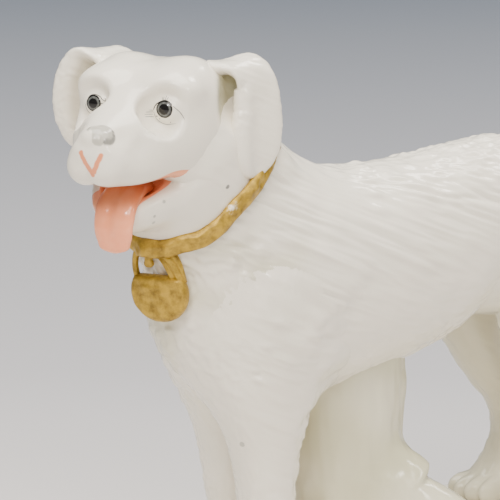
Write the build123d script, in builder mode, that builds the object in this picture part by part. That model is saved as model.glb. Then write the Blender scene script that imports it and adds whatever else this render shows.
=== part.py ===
from build123d import *

import os
from math import cos, radians, sin

# Standing dog of glazed porcelain on a low mound, luted together from separate
# casts. Millimetres and degrees. The dog faces -X, its left side is -Y, +Z is
# up, and the origin is in the middle of the flat underside of the mound.

# Casting: thickness of the slip-cast walls, and how far cutters run past a cut.
WALL = 3.0
OVERRUN = 1.0
QUARTER_TURN = 90.0

# Mound base, as long as the paws need and a margin more, and the vent that lets
# hot air out of the hollow cast in the kiln.
BASE_MARGIN = 6.5
BASE_WIDTH = 68.0
BASE_HEIGHT = 12.0
BASE_END_FLAT = 14.0
BASE_EDGE_RADIUS = 4.0
VENT_RADIUS = 2.5

# Torso: the barrel from breast to rump.
TORSO_LENGTH = 141.0
CHEST_WIDTH = 42.0
CHEST_DEPTH = 57.0
BREAST_REACH = 72.0
TORSO_RISE = 72.5

# Neck, which leans forward from the shoulders and ends at the collar.
NECK_LEAN = 33.5
NECK_LENGTH = 26.0
NECK_WIDTH = 33.0
NECK_DEPTH = 44.0
NECK_ROOT_ALONG_SHARE = 0.192
NECK_ROOT_LIFT_SHARE = 0.145

# Head: skull and upper muzzle, turned to the dog's left.
HEAD_TURN = 20.0
HEAD_LIFT = 27.0
HEAD_LENGTH = 57.5
HEAD_WIDTH = 35.0
HEAD_DEPTH = 27.5
SKULL_BACK_SHARE = 0.365
SKULL_CAVITY_SHARE = 0.62
EYE_RADIUS = 3.6

# Lower jaw, hanging open below the head, and the tongue lying over it.
JAW_LENGTH = 28.0
JAW_WIDTH = 29.0
JAW_THICKNESS = 14.0
JAW_DROP = 17.0
JAW_HINGE_FORWARD_SHARE = -0.07
JAW_HINGE_DROP_SHARE = 0.6
TONGUE_LENGTH = 29.0
TONGUE_WIDTH = 11.0
TONGUE_THICKNESS = 3.6

# Ears, each a hanging flap.
EAR_LENGTH = 30.0
EAR_WIDTH = 18.0
EAR_THICKNESS = 5.4
LEFT_EAR_SWING = -19.0
RIGHT_EAR_SWING = 29.0

# Legs: height from the mound to where each is luted into the torso.
FORELEG_HEIGHT = 66.0
FORELEG_GIRTH = 14.4
FORELEG_REACH = 43.0
FORELEG_STEP = 6.5
FORELEG_SPREAD = 9.5
HIND_LEG_HEIGHT = 85.0
HIND_LEG_GIRTH = 12.4
HIND_LEG_REACH = 60.0
HIND_LEG_SPREAD = 12.5

# Tail, feathered and hanging.
TAIL_LENGTH = 62.0
TAIL_THICKNESS = 11.5

# Tree stump that carries the belly, with one broken branch that slopes down and a root below it.
STUMP_LENGTH = 33.0
STUMP_WIDTH = 24.4
STUMP_AT = -7.0
BRANCH_LENGTH = 22.8
BRANCH_RADIUS = 6.0
BRANCH_RISE = 31.7
BRANCH_TURN = -45.0
BRANCH_TILT = 127.7
ROOT_LENGTH = 37.0
ROOT_RADIUS = 9.0
ROOT_TIP_RADIUS = 7.0
ROOT_RISE = 20.0
ROOT_TILT = 118.0

# Collar and the padlock that hangs from it.
COLLAR_WIDTH = 6.0
COLLAR_STAND = 2.4
LOCK_RADIUS = 7.8
LOCK_FLAT = 5.4
LOCK_THICKNESS = 3.6
LOCK_EDGE_RADIUS = 1.0
LOCK_ROOT = 6.0
LOCK_SIDE = -2.0
LOCK_TURN = 20.0
LOCK_TILT = 8.0
LOCK_DROP = 13.0
LOCK_STAND = 3.0
SHACKLE_WIDTH = 10.0
SHACKLE_RISE = 4.4
SHACKLE_RADIUS = 1.5
TAB_WIDTH = 2.6
TAB_LENGTH = 7.0
TAB_THICKNESS = 2.2

# Sections from breast to rump: place along the torso's length, lift of the
# centre in chest depths, half width in half chest widths, and rise to the back
# and drop to the belly in half chest depths.
TORSO_SHARES = [
    (0.000, -0.03, 0.18, 0.18, 0.20),
    (0.025, -0.03, 0.52, 0.45, 0.48),
    (0.085, -0.01, 0.79, 0.70, 0.75),
    (0.165, 0.00, 0.95, 0.92, 0.96),
    (0.300, 0.00, 1.00, 1.00, 1.03),
    (0.450, 0.01, 0.98, 0.97, 0.98),
    (0.590, 0.03, 0.94, 0.90, 0.92),
    (0.695, 0.07, 0.90, 0.84, 0.86),
    (0.775, 0.12, 0.86, 0.77, 0.72),
    (0.880, 0.14, 0.80, 0.72, 0.63),
    (0.950, 0.13, 0.62, 0.53, 0.49),
    (0.987, 0.12, 0.37, 0.29, 0.29),
    (1.000, 0.12, 0.14, 0.10, 0.10),
]

# Sections up the neck to the collar, and on into the skull: place along the
# neck, half width in half neck widths, reach to the throat and to the nape in
# half neck depths.
NECK_SHARES = [
    (0.0, 1.14, 1.16, 1.46),
    (0.5, 1.07, 1.08, 1.28),
    (1.0, 1.00, 1.00, 1.10),
]
NAPE_SHARES = [
    (1.0, 1.00, 1.00, 1.10),
    (1.4, 0.88, 0.84, 0.90),
    (1.8, 0.60, 0.50, 0.56),
]

# Sections from the back of the skull to the nose: place along the head, lift
# of the centre in head depths, half width in half head widths, rise and drop
# in half head depths.
HEAD_SHARES = [
    (0.000, -0.04, 0.40, 0.50, 0.50),
    (0.060, 0.00, 0.71, 0.76, 0.80),
    (0.190, 0.02, 0.97, 0.86, 1.02),
    (0.365, 0.00, 1.00, 0.90, 1.09),
    (0.500, -0.02, 0.94, 0.87, 1.02),
    (0.600, -0.11, 0.80, 0.69, 0.80),
    (0.695, -0.20, 0.66, 0.64, 0.74),
    (0.817, -0.27, 0.56, 0.58, 0.57),
    (0.940, -0.29, 0.44, 0.52, 0.45),
    (1.000, -0.29, 0.23, 0.25, 0.22),
]

# Place of an eye in the head: forward in head lengths, aside in half head
# widths, up in head depths.
EYE_FORWARD_SHARE = 0.215
EYE_ASIDE_SHARE = 0.53
EYE_UP_SHARE = 0.045

# Sections of the lower jaw from the hinge to the chin: place along the jaw,
# half width in half jaw widths, rise to the lip and drop to the throat in half
# jaw thicknesses.
JAW_SHARES = [
    (0.00, 1.00, 0.57, 2.00),
    (0.29, 0.93, 0.54, 1.80),
    (0.64, 0.71, 0.46, 1.29),
    (0.79, 0.55, 0.38, 1.04),
    (0.93, 0.34, 0.25, 0.60),
    (1.00, 0.12, 0.09, 0.20),
]

# Line of the tongue from the gullet over the lip to the tip: forward and up in
# tongue lengths from the middle of the head, then the direction it runs in,
# and half width and half thickness as shares of its halves.
TONGUE_SHARES = [
    (0.28, -0.66, 1.0, -0.1, 0.70, 0.90),
    (0.55, -0.68, 1.0, -0.2, 0.92, 1.00),
    (0.74, -0.76, 0.7, -0.7, 1.00, 1.00),
    (0.80, -0.92, 0.1, -1.0, 1.00, 1.00),
    (0.79, -1.06, -0.1, -1.0, 0.84, 0.90),
    (0.78, -1.13, -0.1, -1.0, 0.40, 0.50),
]

# Line of an ear from inside the skull over its fold to the tip: aside in half
# head widths and up in ear lengths from the middle of the head, the direction
# it runs in, setback in ear widths, and half width and half thickness as shares
# of its halves.
LEFT_EAR_SHARES = [
    (0.42, 0.22, 1.0, 0.3, 0.54, 0.56, 0.90),
    (0.80, 0.27, 1.0, -0.1, 0.58, 0.72, 0.96),
    (1.06, 0.19, 0.6, -0.8, 0.64, 0.90, 1.00),
    (1.17, 0.00, 0.1, -1.0, 0.70, 1.00, 0.96),
    (1.19, -0.30, 0.0, -1.0, 0.74, 0.98, 0.90),
    (1.16, -0.58, -0.1, -1.0, 0.78, 0.64, 0.74),
    (1.14, -0.67, -0.1, -1.0, 0.79, 0.26, 0.42),
]
RIGHT_EAR_SHARES = [
    (0.42, 0.23, 1.0, 0.4, 0.50, 0.56, 0.90),
    (0.80, 0.32, 1.0, 0.1, 0.46, 0.72, 0.96),
    (1.12, 0.28, 0.7, -0.7, 0.38, 0.90, 1.00),
    (1.26, 0.06, 0.1, -1.0, 0.30, 0.96, 0.96),
    (1.25, -0.18, -0.1, -1.0, 0.26, 0.88, 0.90),
    (1.19, -0.40, -0.2, -1.0, 0.24, 0.58, 0.74),
    (1.17, -0.48, -0.2, -1.0, 0.23, 0.26, 0.42),
]

# Sections of a leg from the paw up: height in leg heights, shift towards the
# tail, half length and half width in leg girths.
FORELEG_SHARES = [
    (0.00, -0.44, 0.68, 0.50),
    (0.05, -0.44, 0.74, 0.54),
    (0.11, -0.34, 0.64, 0.52),
    (0.18, -0.17, 0.48, 0.46),
    (0.33, -0.14, 0.51, 0.47),
    (0.46, -0.15, 0.59, 0.53),
    (0.55, -0.17, 0.69, 0.59),
    (0.69, -0.23, 0.90, 0.64),
    (0.82, -0.25, 1.00, 0.67),
    (0.94, -0.24, 0.97, 0.59),
    (1.00, -0.24, 0.90, 0.50),
]
HIND_LEG_SHARES = [
    (0.000, 0.08, 0.81, 0.56),
    (0.035, 0.12, 0.86, 0.60),
    (0.082, 0.40, 0.70, 0.56),
    (0.135, 0.58, 0.53, 0.48),
    (0.200, 0.73, 0.48, 0.46),
    (0.270, 0.69, 0.53, 0.48),
    (0.390, 0.12, 0.67, 0.53),
    (0.470, -0.23, 0.77, 0.58),
    (0.565, -0.48, 0.98, 0.66),
    (0.680, -0.52, 1.20, 0.76),
    (0.800, -0.40, 1.32, 0.78),
    (0.920, -0.24, 1.20, 0.66),
    (1.000, -0.08, 0.75, 0.40),
]

# Line of the tail from inside the rump to the tip: back and up in tail lengths
# from the rump's middle, the direction it runs in, half thickness as a share.
TAIL_SHARES = [
    (-0.08, 0.20, 1.0, 0.1, 0.90),
    (0.07, 0.19, 0.9, -0.4, 0.92),
    (0.19, 0.06, 0.5, -0.9, 0.96),
    (0.25, -0.17, 0.1, -1.0, 1.00),
    (0.26, -0.42, -0.1, -1.0, 0.96),
    (0.21, -0.68, -0.3, -1.0, 0.66),
    (0.17, -0.78, -0.4, -0.9, 0.24),
]

# Sections of the stump from its roots to the belly: height in torso rises,
# shift towards the tail in stump lengths, half length and half width as shares.
STUMP_SHARES = [
    (0.00, 0.14, 1.39, 1.31),
    (0.04, 0.11, 1.27, 1.19),
    (0.13, 0.05, 1.11, 1.07),
    (0.30, 0.00, 1.01, 1.00),
    (0.43, -0.01, 1.01, 1.00),
    (0.61, 0.00, 1.05, 1.02),
    (0.85, -0.02, 1.00, 0.98),
]


def egg(plane, centre, half_width, rise, drop):
    """A closed section of four quarter ellipses, taller above its centre or below."""
    with BuildSketch(plane) as section:
        with BuildLine():
            for quarter, height in enumerate((rise, rise, drop, drop)):
                EllipticalCenterArc(centre, half_width, height, quarter * QUARTER_TURN)
        make_face()
    return section.sketch


def torso_sections(inset):
    """Sections of the barrel, drawn in all round by the inset."""
    length = TORSO_LENGTH - 2 * inset
    half_width = CHEST_WIDTH / 2 - inset
    half_depth = CHEST_DEPTH / 2 - inset
    sections = []
    for along, lift, width, rise, drop in TORSO_SHARES:
        place = (inset + along * length - BREAST_REACH, 0, TORSO_MIDDLE + lift * CHEST_DEPTH)
        plane = Plane(origin=place, x_dir=(0, 1, 0), z_dir=(1, 0, 0))
        sections.append(egg(plane, (0, 0), width * half_width, rise * half_depth, drop * half_depth))
    return sections


def neck_sections(shares, inset, overrun=0):
    """Sections across the neck, throat side positive, drawn in by the inset."""
    half_width = NECK_WIDTH / 2 - inset
    half_depth = NECK_DEPTH / 2 - inset
    sections = []
    for along, width, throat, nape in shares:
        plane = neck_plane.offset(along * NECK_LENGTH + overrun)
        sections.append(egg(plane, (0, 0), width * half_width, throat * half_depth, nape * half_depth))
    return sections


def head_sections(shares, inset):
    """Sections across the head from the back of the skull towards the nose."""
    half_width = HEAD_WIDTH / 2 - inset
    half_depth = HEAD_DEPTH / 2 - inset
    length = HEAD_LENGTH - 2 * inset
    sections = []
    for along, lift, width, rise, drop in shares:
        plane = head_plane.offset((along - SKULL_BACK_SHARE) * length)
        centre = (0, lift * HEAD_DEPTH)
        sections.append(egg(plane, centre, width * half_width, rise * half_depth, drop * half_depth))
    return sections


def leg_sections(shares, height, girth, reach, spread):
    """Level sections of a leg from the paw up, for a leg at the given place."""
    sections = []
    for up, shift, half_length, half_width in shares:
        plane = Plane.XY.offset(BASE_HEIGHT + up * height)
        centre = (reach + shift * girth, spread)
        sections.append(egg(plane, centre, half_length * girth, half_width * girth, half_width * girth))
    return sections


def ear_sections(shares, side, swing):
    """Sections of an ear flap, side +1 for the dog's left and -1 for its right."""
    out = head_plane.x_dir * (side * sin(radians(swing)))
    fore_edge = head_plane.z_dir * cos(radians(swing)) + out
    sections = []
    for aside, up, run_aside, run_up, setback, width, thickness in shares:
        place = head_plane.from_local_coords(
            (side * aside * HEAD_WIDTH / 2, up * EAR_LENGTH, -setback * EAR_WIDTH)
        )
        run = head_plane.x_dir * (side * run_aside) + head_plane.y_dir * run_up
        plane = Plane(origin=place, x_dir=fore_edge - run * (fore_edge.dot(run) / run.dot(run)), z_dir=run)
        half_thickness = thickness * EAR_THICKNESS / 2
        sections.append(egg(plane, (0, 0), width * EAR_WIDTH / 2, half_thickness, half_thickness))
    return sections


def tongue_sections():
    """Sections of the tongue along its line over the lip."""
    sections = []
    for forward, up, run_forward, run_up, width, thickness in TONGUE_SHARES:
        place = head_plane.from_local_coords((0, up * TONGUE_LENGTH, forward * TONGUE_LENGTH))
        run = head_plane.z_dir * run_forward + head_plane.y_dir * run_up
        plane = Plane(origin=place, x_dir=head_plane.x_dir, z_dir=run)
        half_thickness = thickness * TONGUE_THICKNESS / 2
        sections.append(egg(plane, (0, 0), width * TONGUE_WIDTH / 2, half_thickness, half_thickness))
    return sections


def tail_sections():
    """Round sections of the tail along its line."""
    sections = []
    for back, up, run_back, run_up, thickness in TAIL_SHARES:
        place = (RUMP_END + back * TAIL_LENGTH, 0, TORSO_MIDDLE + up * TAIL_LENGTH)
        plane = Plane(origin=place, x_dir=(0, 1, 0), z_dir=(run_back, 0, run_up))
        radius = thickness * TAIL_THICKNESS / 2
        sections.append(egg(plane, (0, 0), radius, radius, radius))
    return sections


# Places that follow from the sizes.
TORSO_MIDDLE = BASE_HEIGHT + TORSO_RISE
RUMP_END = TORSO_LENGTH - BREAST_REACH
neck_axis = Vector(-sin(radians(NECK_LEAN)), 0, cos(radians(NECK_LEAN)))
neck_root = Vector(
    NECK_ROOT_ALONG_SHARE * TORSO_LENGTH - BREAST_REACH,
    0,
    TORSO_MIDDLE + NECK_ROOT_LIFT_SHARE * CHEST_DEPTH,
)
neck_plane = Plane(origin=neck_root, x_dir=(0, 1, 0), z_dir=neck_axis)
facing = Vector(-cos(radians(HEAD_TURN)), -sin(radians(HEAD_TURN)), 0)
left_of_head = Vector(sin(radians(HEAD_TURN)), -cos(radians(HEAD_TURN)), 0)
head_plane = Plane(
    origin=neck_root + neck_axis * (NECK_LENGTH + HEAD_LIFT),
    x_dir=left_of_head,
    z_dir=facing,
)

os.makedirs("parts", exist_ok=True)

# Torso and neck, first as a full form that the other casts are scribed to.
with BuildPart() as torso_form:
    loft(torso_sections(0))
    loft(neck_sections(NECK_SHARES, 0))

with BuildPart() as torso_cavity:
    loft(torso_sections(WALL))
    loft(neck_sections(NECK_SHARES, WALL, OVERRUN))

with BuildPart() as torso_shell:
    add(torso_form.part)
    add(torso_cavity.part, mode=Mode.SUBTRACT)
    with Locations((STUMP_AT, 0, 0)):
        Cylinder(
            VENT_RADIUS, TORSO_MIDDLE, align=(Align.CENTER, Align.CENTER, Align.MIN), mode=Mode.SUBTRACT
        )
torso_shell.part.label = "torso_shell"

# Head, with its moulded eyeballs, and the hollow that joins the neck's.
with BuildPart() as head_form:
    loft(head_sections(HEAD_SHARES, 0))
    loft(neck_sections(NAPE_SHARES, 0))
    for side in (-1, 1):
        eye = (
            side * EYE_ASIDE_SHARE * HEAD_WIDTH / 2,
            EYE_UP_SHARE * HEAD_DEPTH,
            EYE_FORWARD_SHARE * HEAD_LENGTH,
        )
        with Locations(head_plane.from_local_coords(eye)):
            Sphere(EYE_RADIUS)

with BuildPart() as head_cavity:
    loft(head_sections([share for share in HEAD_SHARES if share[0] < SKULL_CAVITY_SHARE], WALL))
    loft(neck_sections(NAPE_SHARES, WALL, -OVERRUN))

with BuildPart() as head_shell:
    add(head_form.part)
    add(head_cavity.part, mode=Mode.SUBTRACT)
head_shell.part.label = "head_shell"

# Collar: a crowned strap over the seam between head and neck.
with BuildPart() as collar:
    loft(
        [
            egg(
                neck_plane.offset(NECK_LENGTH + across * COLLAR_WIDTH),
                (0, 0),
                NECK_WIDTH / 2 + stand * COLLAR_STAND,
                NECK_DEPTH / 2 + stand * COLLAR_STAND,
                NECK_DEPTH / 2 + stand * COLLAR_STAND,
            )
            for across, stand in ((-0.5, 0.55), (0.0, 1.0), (0.5, 0.55))
        ]
    )
    add(torso_form.part, mode=Mode.SUBTRACT)
    add(head_form.part, mode=Mode.SUBTRACT)
collar.part.label = "collar"

# Lower jaw, scribed to the throat and the collar.
jaw_hinge = head_plane.from_local_coords(
    (0, -JAW_HINGE_DROP_SHARE * HEAD_DEPTH, JAW_HINGE_FORWARD_SHARE * HEAD_LENGTH)
)
jaw_run = facing * cos(radians(JAW_DROP)) + Vector(0, 0, -sin(radians(JAW_DROP)))
jaw_plane = Plane(origin=jaw_hinge, x_dir=left_of_head, z_dir=jaw_run)
with BuildPart() as lower_jaw:
    loft(
        [
            egg(
                jaw_plane.offset(along * JAW_LENGTH),
                (0, 0),
                width * JAW_WIDTH / 2,
                rise * JAW_THICKNESS / 2,
                drop * JAW_THICKNESS / 2,
            )
            for along, width, rise, drop in JAW_SHARES
        ]
    )
    add(head_form.part, mode=Mode.SUBTRACT)
    add(torso_form.part, mode=Mode.SUBTRACT)
    add(collar.part, mode=Mode.SUBTRACT)
lower_jaw.part.label = "lower_jaw"

with BuildPart() as tongue:
    loft(tongue_sections())
    add(head_form.part, mode=Mode.SUBTRACT)
    add(lower_jaw.part, mode=Mode.SUBTRACT)
tongue.part.label = "tongue"

with BuildPart() as left_ear:
    loft(ear_sections(LEFT_EAR_SHARES, 1, LEFT_EAR_SWING))
    add(head_form.part, mode=Mode.SUBTRACT)
    add(torso_form.part, mode=Mode.SUBTRACT)
    add(collar.part, mode=Mode.SUBTRACT)
left_ear.part.label = "left_ear"

with BuildPart() as right_ear:
    loft(ear_sections(RIGHT_EAR_SHARES, -1, RIGHT_EAR_SWING))
    add(head_form.part, mode=Mode.SUBTRACT)
    add(torso_form.part, mode=Mode.SUBTRACT)
    add(collar.part, mode=Mode.SUBTRACT)
right_ear.part.label = "right_ear"

# Legs, each scribed to the torso.
FORELEG = (FORELEG_SHARES, FORELEG_HEIGHT, FORELEG_GIRTH)
HIND_LEG = (HIND_LEG_SHARES, HIND_LEG_HEIGHT, HIND_LEG_GIRTH, HIND_LEG_REACH)

with BuildPart() as left_foreleg:
    loft(leg_sections(*FORELEG, -FORELEG_REACH, -FORELEG_SPREAD))
    add(torso_form.part, mode=Mode.SUBTRACT)
left_foreleg.part.label = "left_foreleg"

with BuildPart() as right_foreleg:
    loft(leg_sections(*FORELEG, FORELEG_STEP - FORELEG_REACH, FORELEG_SPREAD))
    add(torso_form.part, mode=Mode.SUBTRACT)
right_foreleg.part.label = "right_foreleg"

with BuildPart() as left_hind_leg:
    loft(leg_sections(*HIND_LEG, -HIND_LEG_SPREAD))
    add(torso_form.part, mode=Mode.SUBTRACT)
left_hind_leg.part.label = "left_hind_leg"

with BuildPart() as right_hind_leg:
    loft(leg_sections(*HIND_LEG, HIND_LEG_SPREAD))
    add(torso_form.part, mode=Mode.SUBTRACT)
right_hind_leg.part.label = "right_hind_leg"

with BuildPart() as tail:
    loft(tail_sections())
    add(torso_form.part, mode=Mode.SUBTRACT)
tail.part.label = "tail"

# Stump, with the vent through it, standing on the mound under the belly.
with BuildPart() as tree_stump:
    loft(
        [
            egg(
                Plane.XY.offset(BASE_HEIGHT + up * TORSO_RISE),
                (STUMP_AT + shift * STUMP_LENGTH, 0),
                half_length * STUMP_LENGTH / 2,
                half_width * STUMP_WIDTH / 2,
                half_width * STUMP_WIDTH / 2,
            )
            for up, shift, half_length, half_width in STUMP_SHARES
        ]
    )
    turned = Rot(0, 0, BRANCH_TURN)
    with Locations(Pos(STUMP_AT, 0, BASE_HEIGHT + BRANCH_RISE) * turned * Rot(0, BRANCH_TILT, 0)):
        Cylinder(BRANCH_RADIUS, BRANCH_LENGTH, align=(Align.CENTER, Align.CENTER, Align.MIN))
    with Locations(Pos(STUMP_AT, 0, BASE_HEIGHT + ROOT_RISE) * turned * Rot(0, ROOT_TILT, 0)):
        Cone(
            ROOT_RADIUS, ROOT_TIP_RADIUS, ROOT_LENGTH, align=(Align.CENTER, Align.CENTER, Align.MIN)
        )
    split(bisect_by=Plane.XY.offset(BASE_HEIGHT), keep=Keep.TOP)
    add(torso_form.part, mode=Mode.SUBTRACT)
    with Locations((STUMP_AT, 0, 0)):
        Cylinder(
            VENT_RADIUS, TORSO_MIDDLE, align=(Align.CENTER, Align.CENTER, Align.MIN), mode=Mode.SUBTRACT
        )
tree_stump.part.label = "tree_stump"

heel = max(shift + half_length for _, shift, half_length, _ in HIND_LEG_SHARES[:2])
base_length = 2 * (HIND_LEG_REACH + heel * HIND_LEG_GIRTH + BASE_MARGIN)
with BuildPart() as mound_base:
    with BuildSketch():
        RectangleRounded(base_length, BASE_WIDTH, (BASE_WIDTH - BASE_END_FLAT) / 2)
    extrude(amount=BASE_HEIGHT)
    fillet(mound_base.faces().sort_by(Axis.Z)[-1].edges(), BASE_EDGE_RADIUS)
    with Locations((STUMP_AT, 0, 0)):
        Cylinder(VENT_RADIUS, 2 * (BASE_HEIGHT + OVERRUN), mode=Mode.SUBTRACT)
mound_base.part.label = "mound_base"

# Padlock, flat-topped and round, luted to the breast under the collar.
lock_facing = Vector(
    -cos(radians(LOCK_TURN)) * cos(radians(LOCK_TILT)),
    -sin(radians(LOCK_TURN)) * cos(radians(LOCK_TILT)),
    -sin(radians(LOCK_TILT)),
)
lock_side = Vector(sin(radians(LOCK_TURN)), -cos(radians(LOCK_TURN)), 0)
lock_plane = Plane(
    origin=neck_plane.from_local_coords(
        (LOCK_SIDE, NECK_DEPTH / 2 + LOCK_STAND, NECK_LENGTH - LOCK_DROP)
    ),
    x_dir=lock_side,
    z_dir=lock_facing,
)
with BuildPart() as padlock_body:
    with BuildSketch(lock_plane.offset(LOCK_THICKNESS)):
        Circle(LOCK_RADIUS)
        with Locations((0, LOCK_FLAT)):
            Rectangle(
                2 * LOCK_RADIUS, LOCK_RADIUS, align=(Align.CENTER, Align.MIN), mode=Mode.SUBTRACT
            )
    extrude(amount=-(LOCK_THICKNESS + LOCK_ROOT))
    add(torso_form.part, mode=Mode.SUBTRACT)
    fillet(
        padlock_body.faces().filter_by(lock_plane).sort_by(Axis(lock_plane.origin, lock_facing))[-1].edges(),
        LOCK_EDGE_RADIUS,
    )
padlock_body.part.label = "padlock_body"

shackle_plane = lock_plane.offset(LOCK_THICKNESS / 2)
with BuildPart() as padlock_shackle:
    with BuildLine(shackle_plane) as bow:
        Line((-SHACKLE_WIDTH / 2, LOCK_FLAT), (-SHACKLE_WIDTH / 2, LOCK_FLAT + SHACKLE_RISE))
        crown = CenterArc((0, LOCK_FLAT + SHACKLE_RISE), SHACKLE_WIDTH / 2, 180, -180)
        Line(crown @ 1, (SHACKLE_WIDTH / 2, LOCK_FLAT))
    with BuildSketch(Plane(origin=bow.line @ 0, z_dir=bow.line % 0)):
        Circle(SHACKLE_RADIUS)
    sweep()
    add(torso_form.part, mode=Mode.SUBTRACT)
    add(head_form.part, mode=Mode.SUBTRACT)
    add(collar.part, mode=Mode.SUBTRACT)
    add(lower_jaw.part, mode=Mode.SUBTRACT)
padlock_shackle.part.label = "padlock_shackle"

# Tab of the collar's end, tucked down through the shackle.
with BuildPart() as collar_tab:
    with BuildSketch(shackle_plane.offset(-TAB_THICKNESS / 2)):
        with Locations((0, LOCK_FLAT + OVERRUN)):
            Rectangle(TAB_WIDTH, TAB_LENGTH, align=(Align.CENTER, Align.MIN))
    extrude(amount=TAB_THICKNESS)
    add(torso_form.part, mode=Mode.SUBTRACT)
    add(head_form.part, mode=Mode.SUBTRACT)
    add(collar.part, mode=Mode.SUBTRACT)
    add(lower_jaw.part, mode=Mode.SUBTRACT)
    add(padlock_shackle.part, mode=Mode.SUBTRACT)
collar_tab.part.label = "collar_tab"

for cast in (
    mound_base,
    tree_stump,
    torso_shell,
    head_shell,
    lower_jaw,
    tongue,
    left_ear,
    right_ear,
    left_foreleg,
    right_foreleg,
    left_hind_leg,
    right_hind_leg,
    tail,
    collar,
    padlock_body,
    padlock_shackle,
    collar_tab,
):
    export_step(cast.part, f"parts/{cast.part.label}.step")
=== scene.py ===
"""A glazed porcelain dog on a mound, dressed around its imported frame.

The dog faces -X, its left side is -Y and +Z is up. Shapes are worked out in millimetres and put into the
meshes in metres. A form is a field over points: below zero inside, and about the distance to the surface
outside. A piece is a grid of rays, cast from its own axis on to its form.
"""

import logging
import math
from dataclasses import dataclass, field
from enum import Enum
from typing import Callable

import bpy
import numpy as np
from mathutils import Matrix


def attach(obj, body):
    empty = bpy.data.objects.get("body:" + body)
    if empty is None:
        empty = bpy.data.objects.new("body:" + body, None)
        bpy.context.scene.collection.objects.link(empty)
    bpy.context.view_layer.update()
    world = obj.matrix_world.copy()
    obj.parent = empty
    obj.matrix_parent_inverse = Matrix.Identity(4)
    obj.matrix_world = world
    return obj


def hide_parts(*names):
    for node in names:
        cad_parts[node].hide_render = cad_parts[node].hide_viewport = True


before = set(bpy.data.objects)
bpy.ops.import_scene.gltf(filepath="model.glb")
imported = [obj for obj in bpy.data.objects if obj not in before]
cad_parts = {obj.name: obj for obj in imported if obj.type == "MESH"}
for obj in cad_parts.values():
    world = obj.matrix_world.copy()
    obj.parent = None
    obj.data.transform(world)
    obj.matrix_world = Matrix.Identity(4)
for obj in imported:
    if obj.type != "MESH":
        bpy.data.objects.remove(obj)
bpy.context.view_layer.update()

Array = np.ndarray
Form = Callable[[Array], Array]
Socket = bpy.types.NodeSocket
MM = 0.001
TURN = 2 * math.pi

# A loft's ends are read a hair inside, a cast halves its last step so often, and so low a value is no paint.
HAIR = 0.02
HALVINGS = 13
UNPAINTED = -9.0

LOG = logging.getLogger("porcelain_dog")


# Measures


def linear(code: str) -> tuple[float, float, float, float]:
    """Turns an sRGB hex colour into linear values.

    Args:
        code: Six hex digits after a hash sign.

    Returns:
        Red, green, blue and a full alpha.
    """
    share = np.array([int(code[i : i + 2], 16) for i in (1, 3, 5)]) / 255
    value = np.where(share <= 0.04045, share / 12.92, ((share + 0.055) / 1.055) ** 2.4)
    return (*value.tolist(), 1.0)


def unit(vector: Array) -> Array:
    """Scales vectors, along the last axis, to a length of one."""
    vector = np.asarray(vector, float)
    return vector / np.maximum(np.linalg.norm(vector, axis=-1, keepdims=True), 1e-12)


def level(normal: Array) -> tuple[Array, Array]:
    """The level direction square to a normal, and the direction square to both."""
    across = unit(np.cross(np.array([0, 0, 1.0]), normal))
    return across, np.cross(normal, across)


def smooth(value: Array, low: float, high: float) -> Array:
    """A soft step from 0 at low to 1 at high: 3t squared less 2t cubed."""
    share = np.clip((np.asarray(value, float) - low) / (high - low), 0, 1)
    return share * share * (3 - 2 * share)


def along(stations: Array, at: Array) -> Array:
    """Reads a table between its rows with a cubic through the rows and their mean slopes.

    Args:
        stations: Rows of a rising place and the values there.
        at: Places to read, of any shape.

    Returns:
        The values, in one more axis than at has.
    """
    table = np.asarray(stations, float)
    place, value = table[:, 0], table[:, 1:]
    slope = np.gradient(value, place, axis=0)
    at = np.clip(at, place[0], place[-1])
    i = np.clip(np.searchsorted(place, at, side="right") - 1, 0, len(place) - 2)
    gap = (place[i + 1] - place[i])[..., None]
    t = (at - place[i])[..., None] / gap
    rest = value[i] * (1 + 2 * t) * (1 - t) ** 2 + value[i + 1] * t * t * (3 - 2 * t)
    return rest + gap * (slope[i] * t * (1 - t) ** 2 - slope[i + 1] * t * t * (1 - t))


# Forms


def melt(first: Array, second: Array, reach: float) -> Array:
    """The lesser of two fields, lowered by (reach - gap) squared over 4 reach where they are close."""
    near = np.clip(reach - np.abs(first - second), 0, None)
    return np.minimum(first, second) - near * near / (4 * reach)


def carve(body: Array, hollow: Array, reach: float) -> Array:
    """The body's field with the hollow taken out, and the rim rounded by reach."""
    return -melt(-body, hollow, reach)


def ellipsoid(points: Array, centre: tuple, radii: tuple) -> Array:
    """Field of an ellipsoid: length of p/r times (that length less 1), over the length of p/r squared.

    Args:
        points: Where to read the field.
        centre: The ellipsoid's middle.
        radii: Its three half axes.

    Returns:
        The field, which is about a distance near the surface.
    """
    radii = np.asarray(radii, float)
    local = points - np.asarray(centre, float)
    inner = np.linalg.norm(local / radii, axis=-1)
    return inner * (inner - 1) / np.maximum(np.linalg.norm(local / radii**2, axis=-1), 1e-9)


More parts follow.
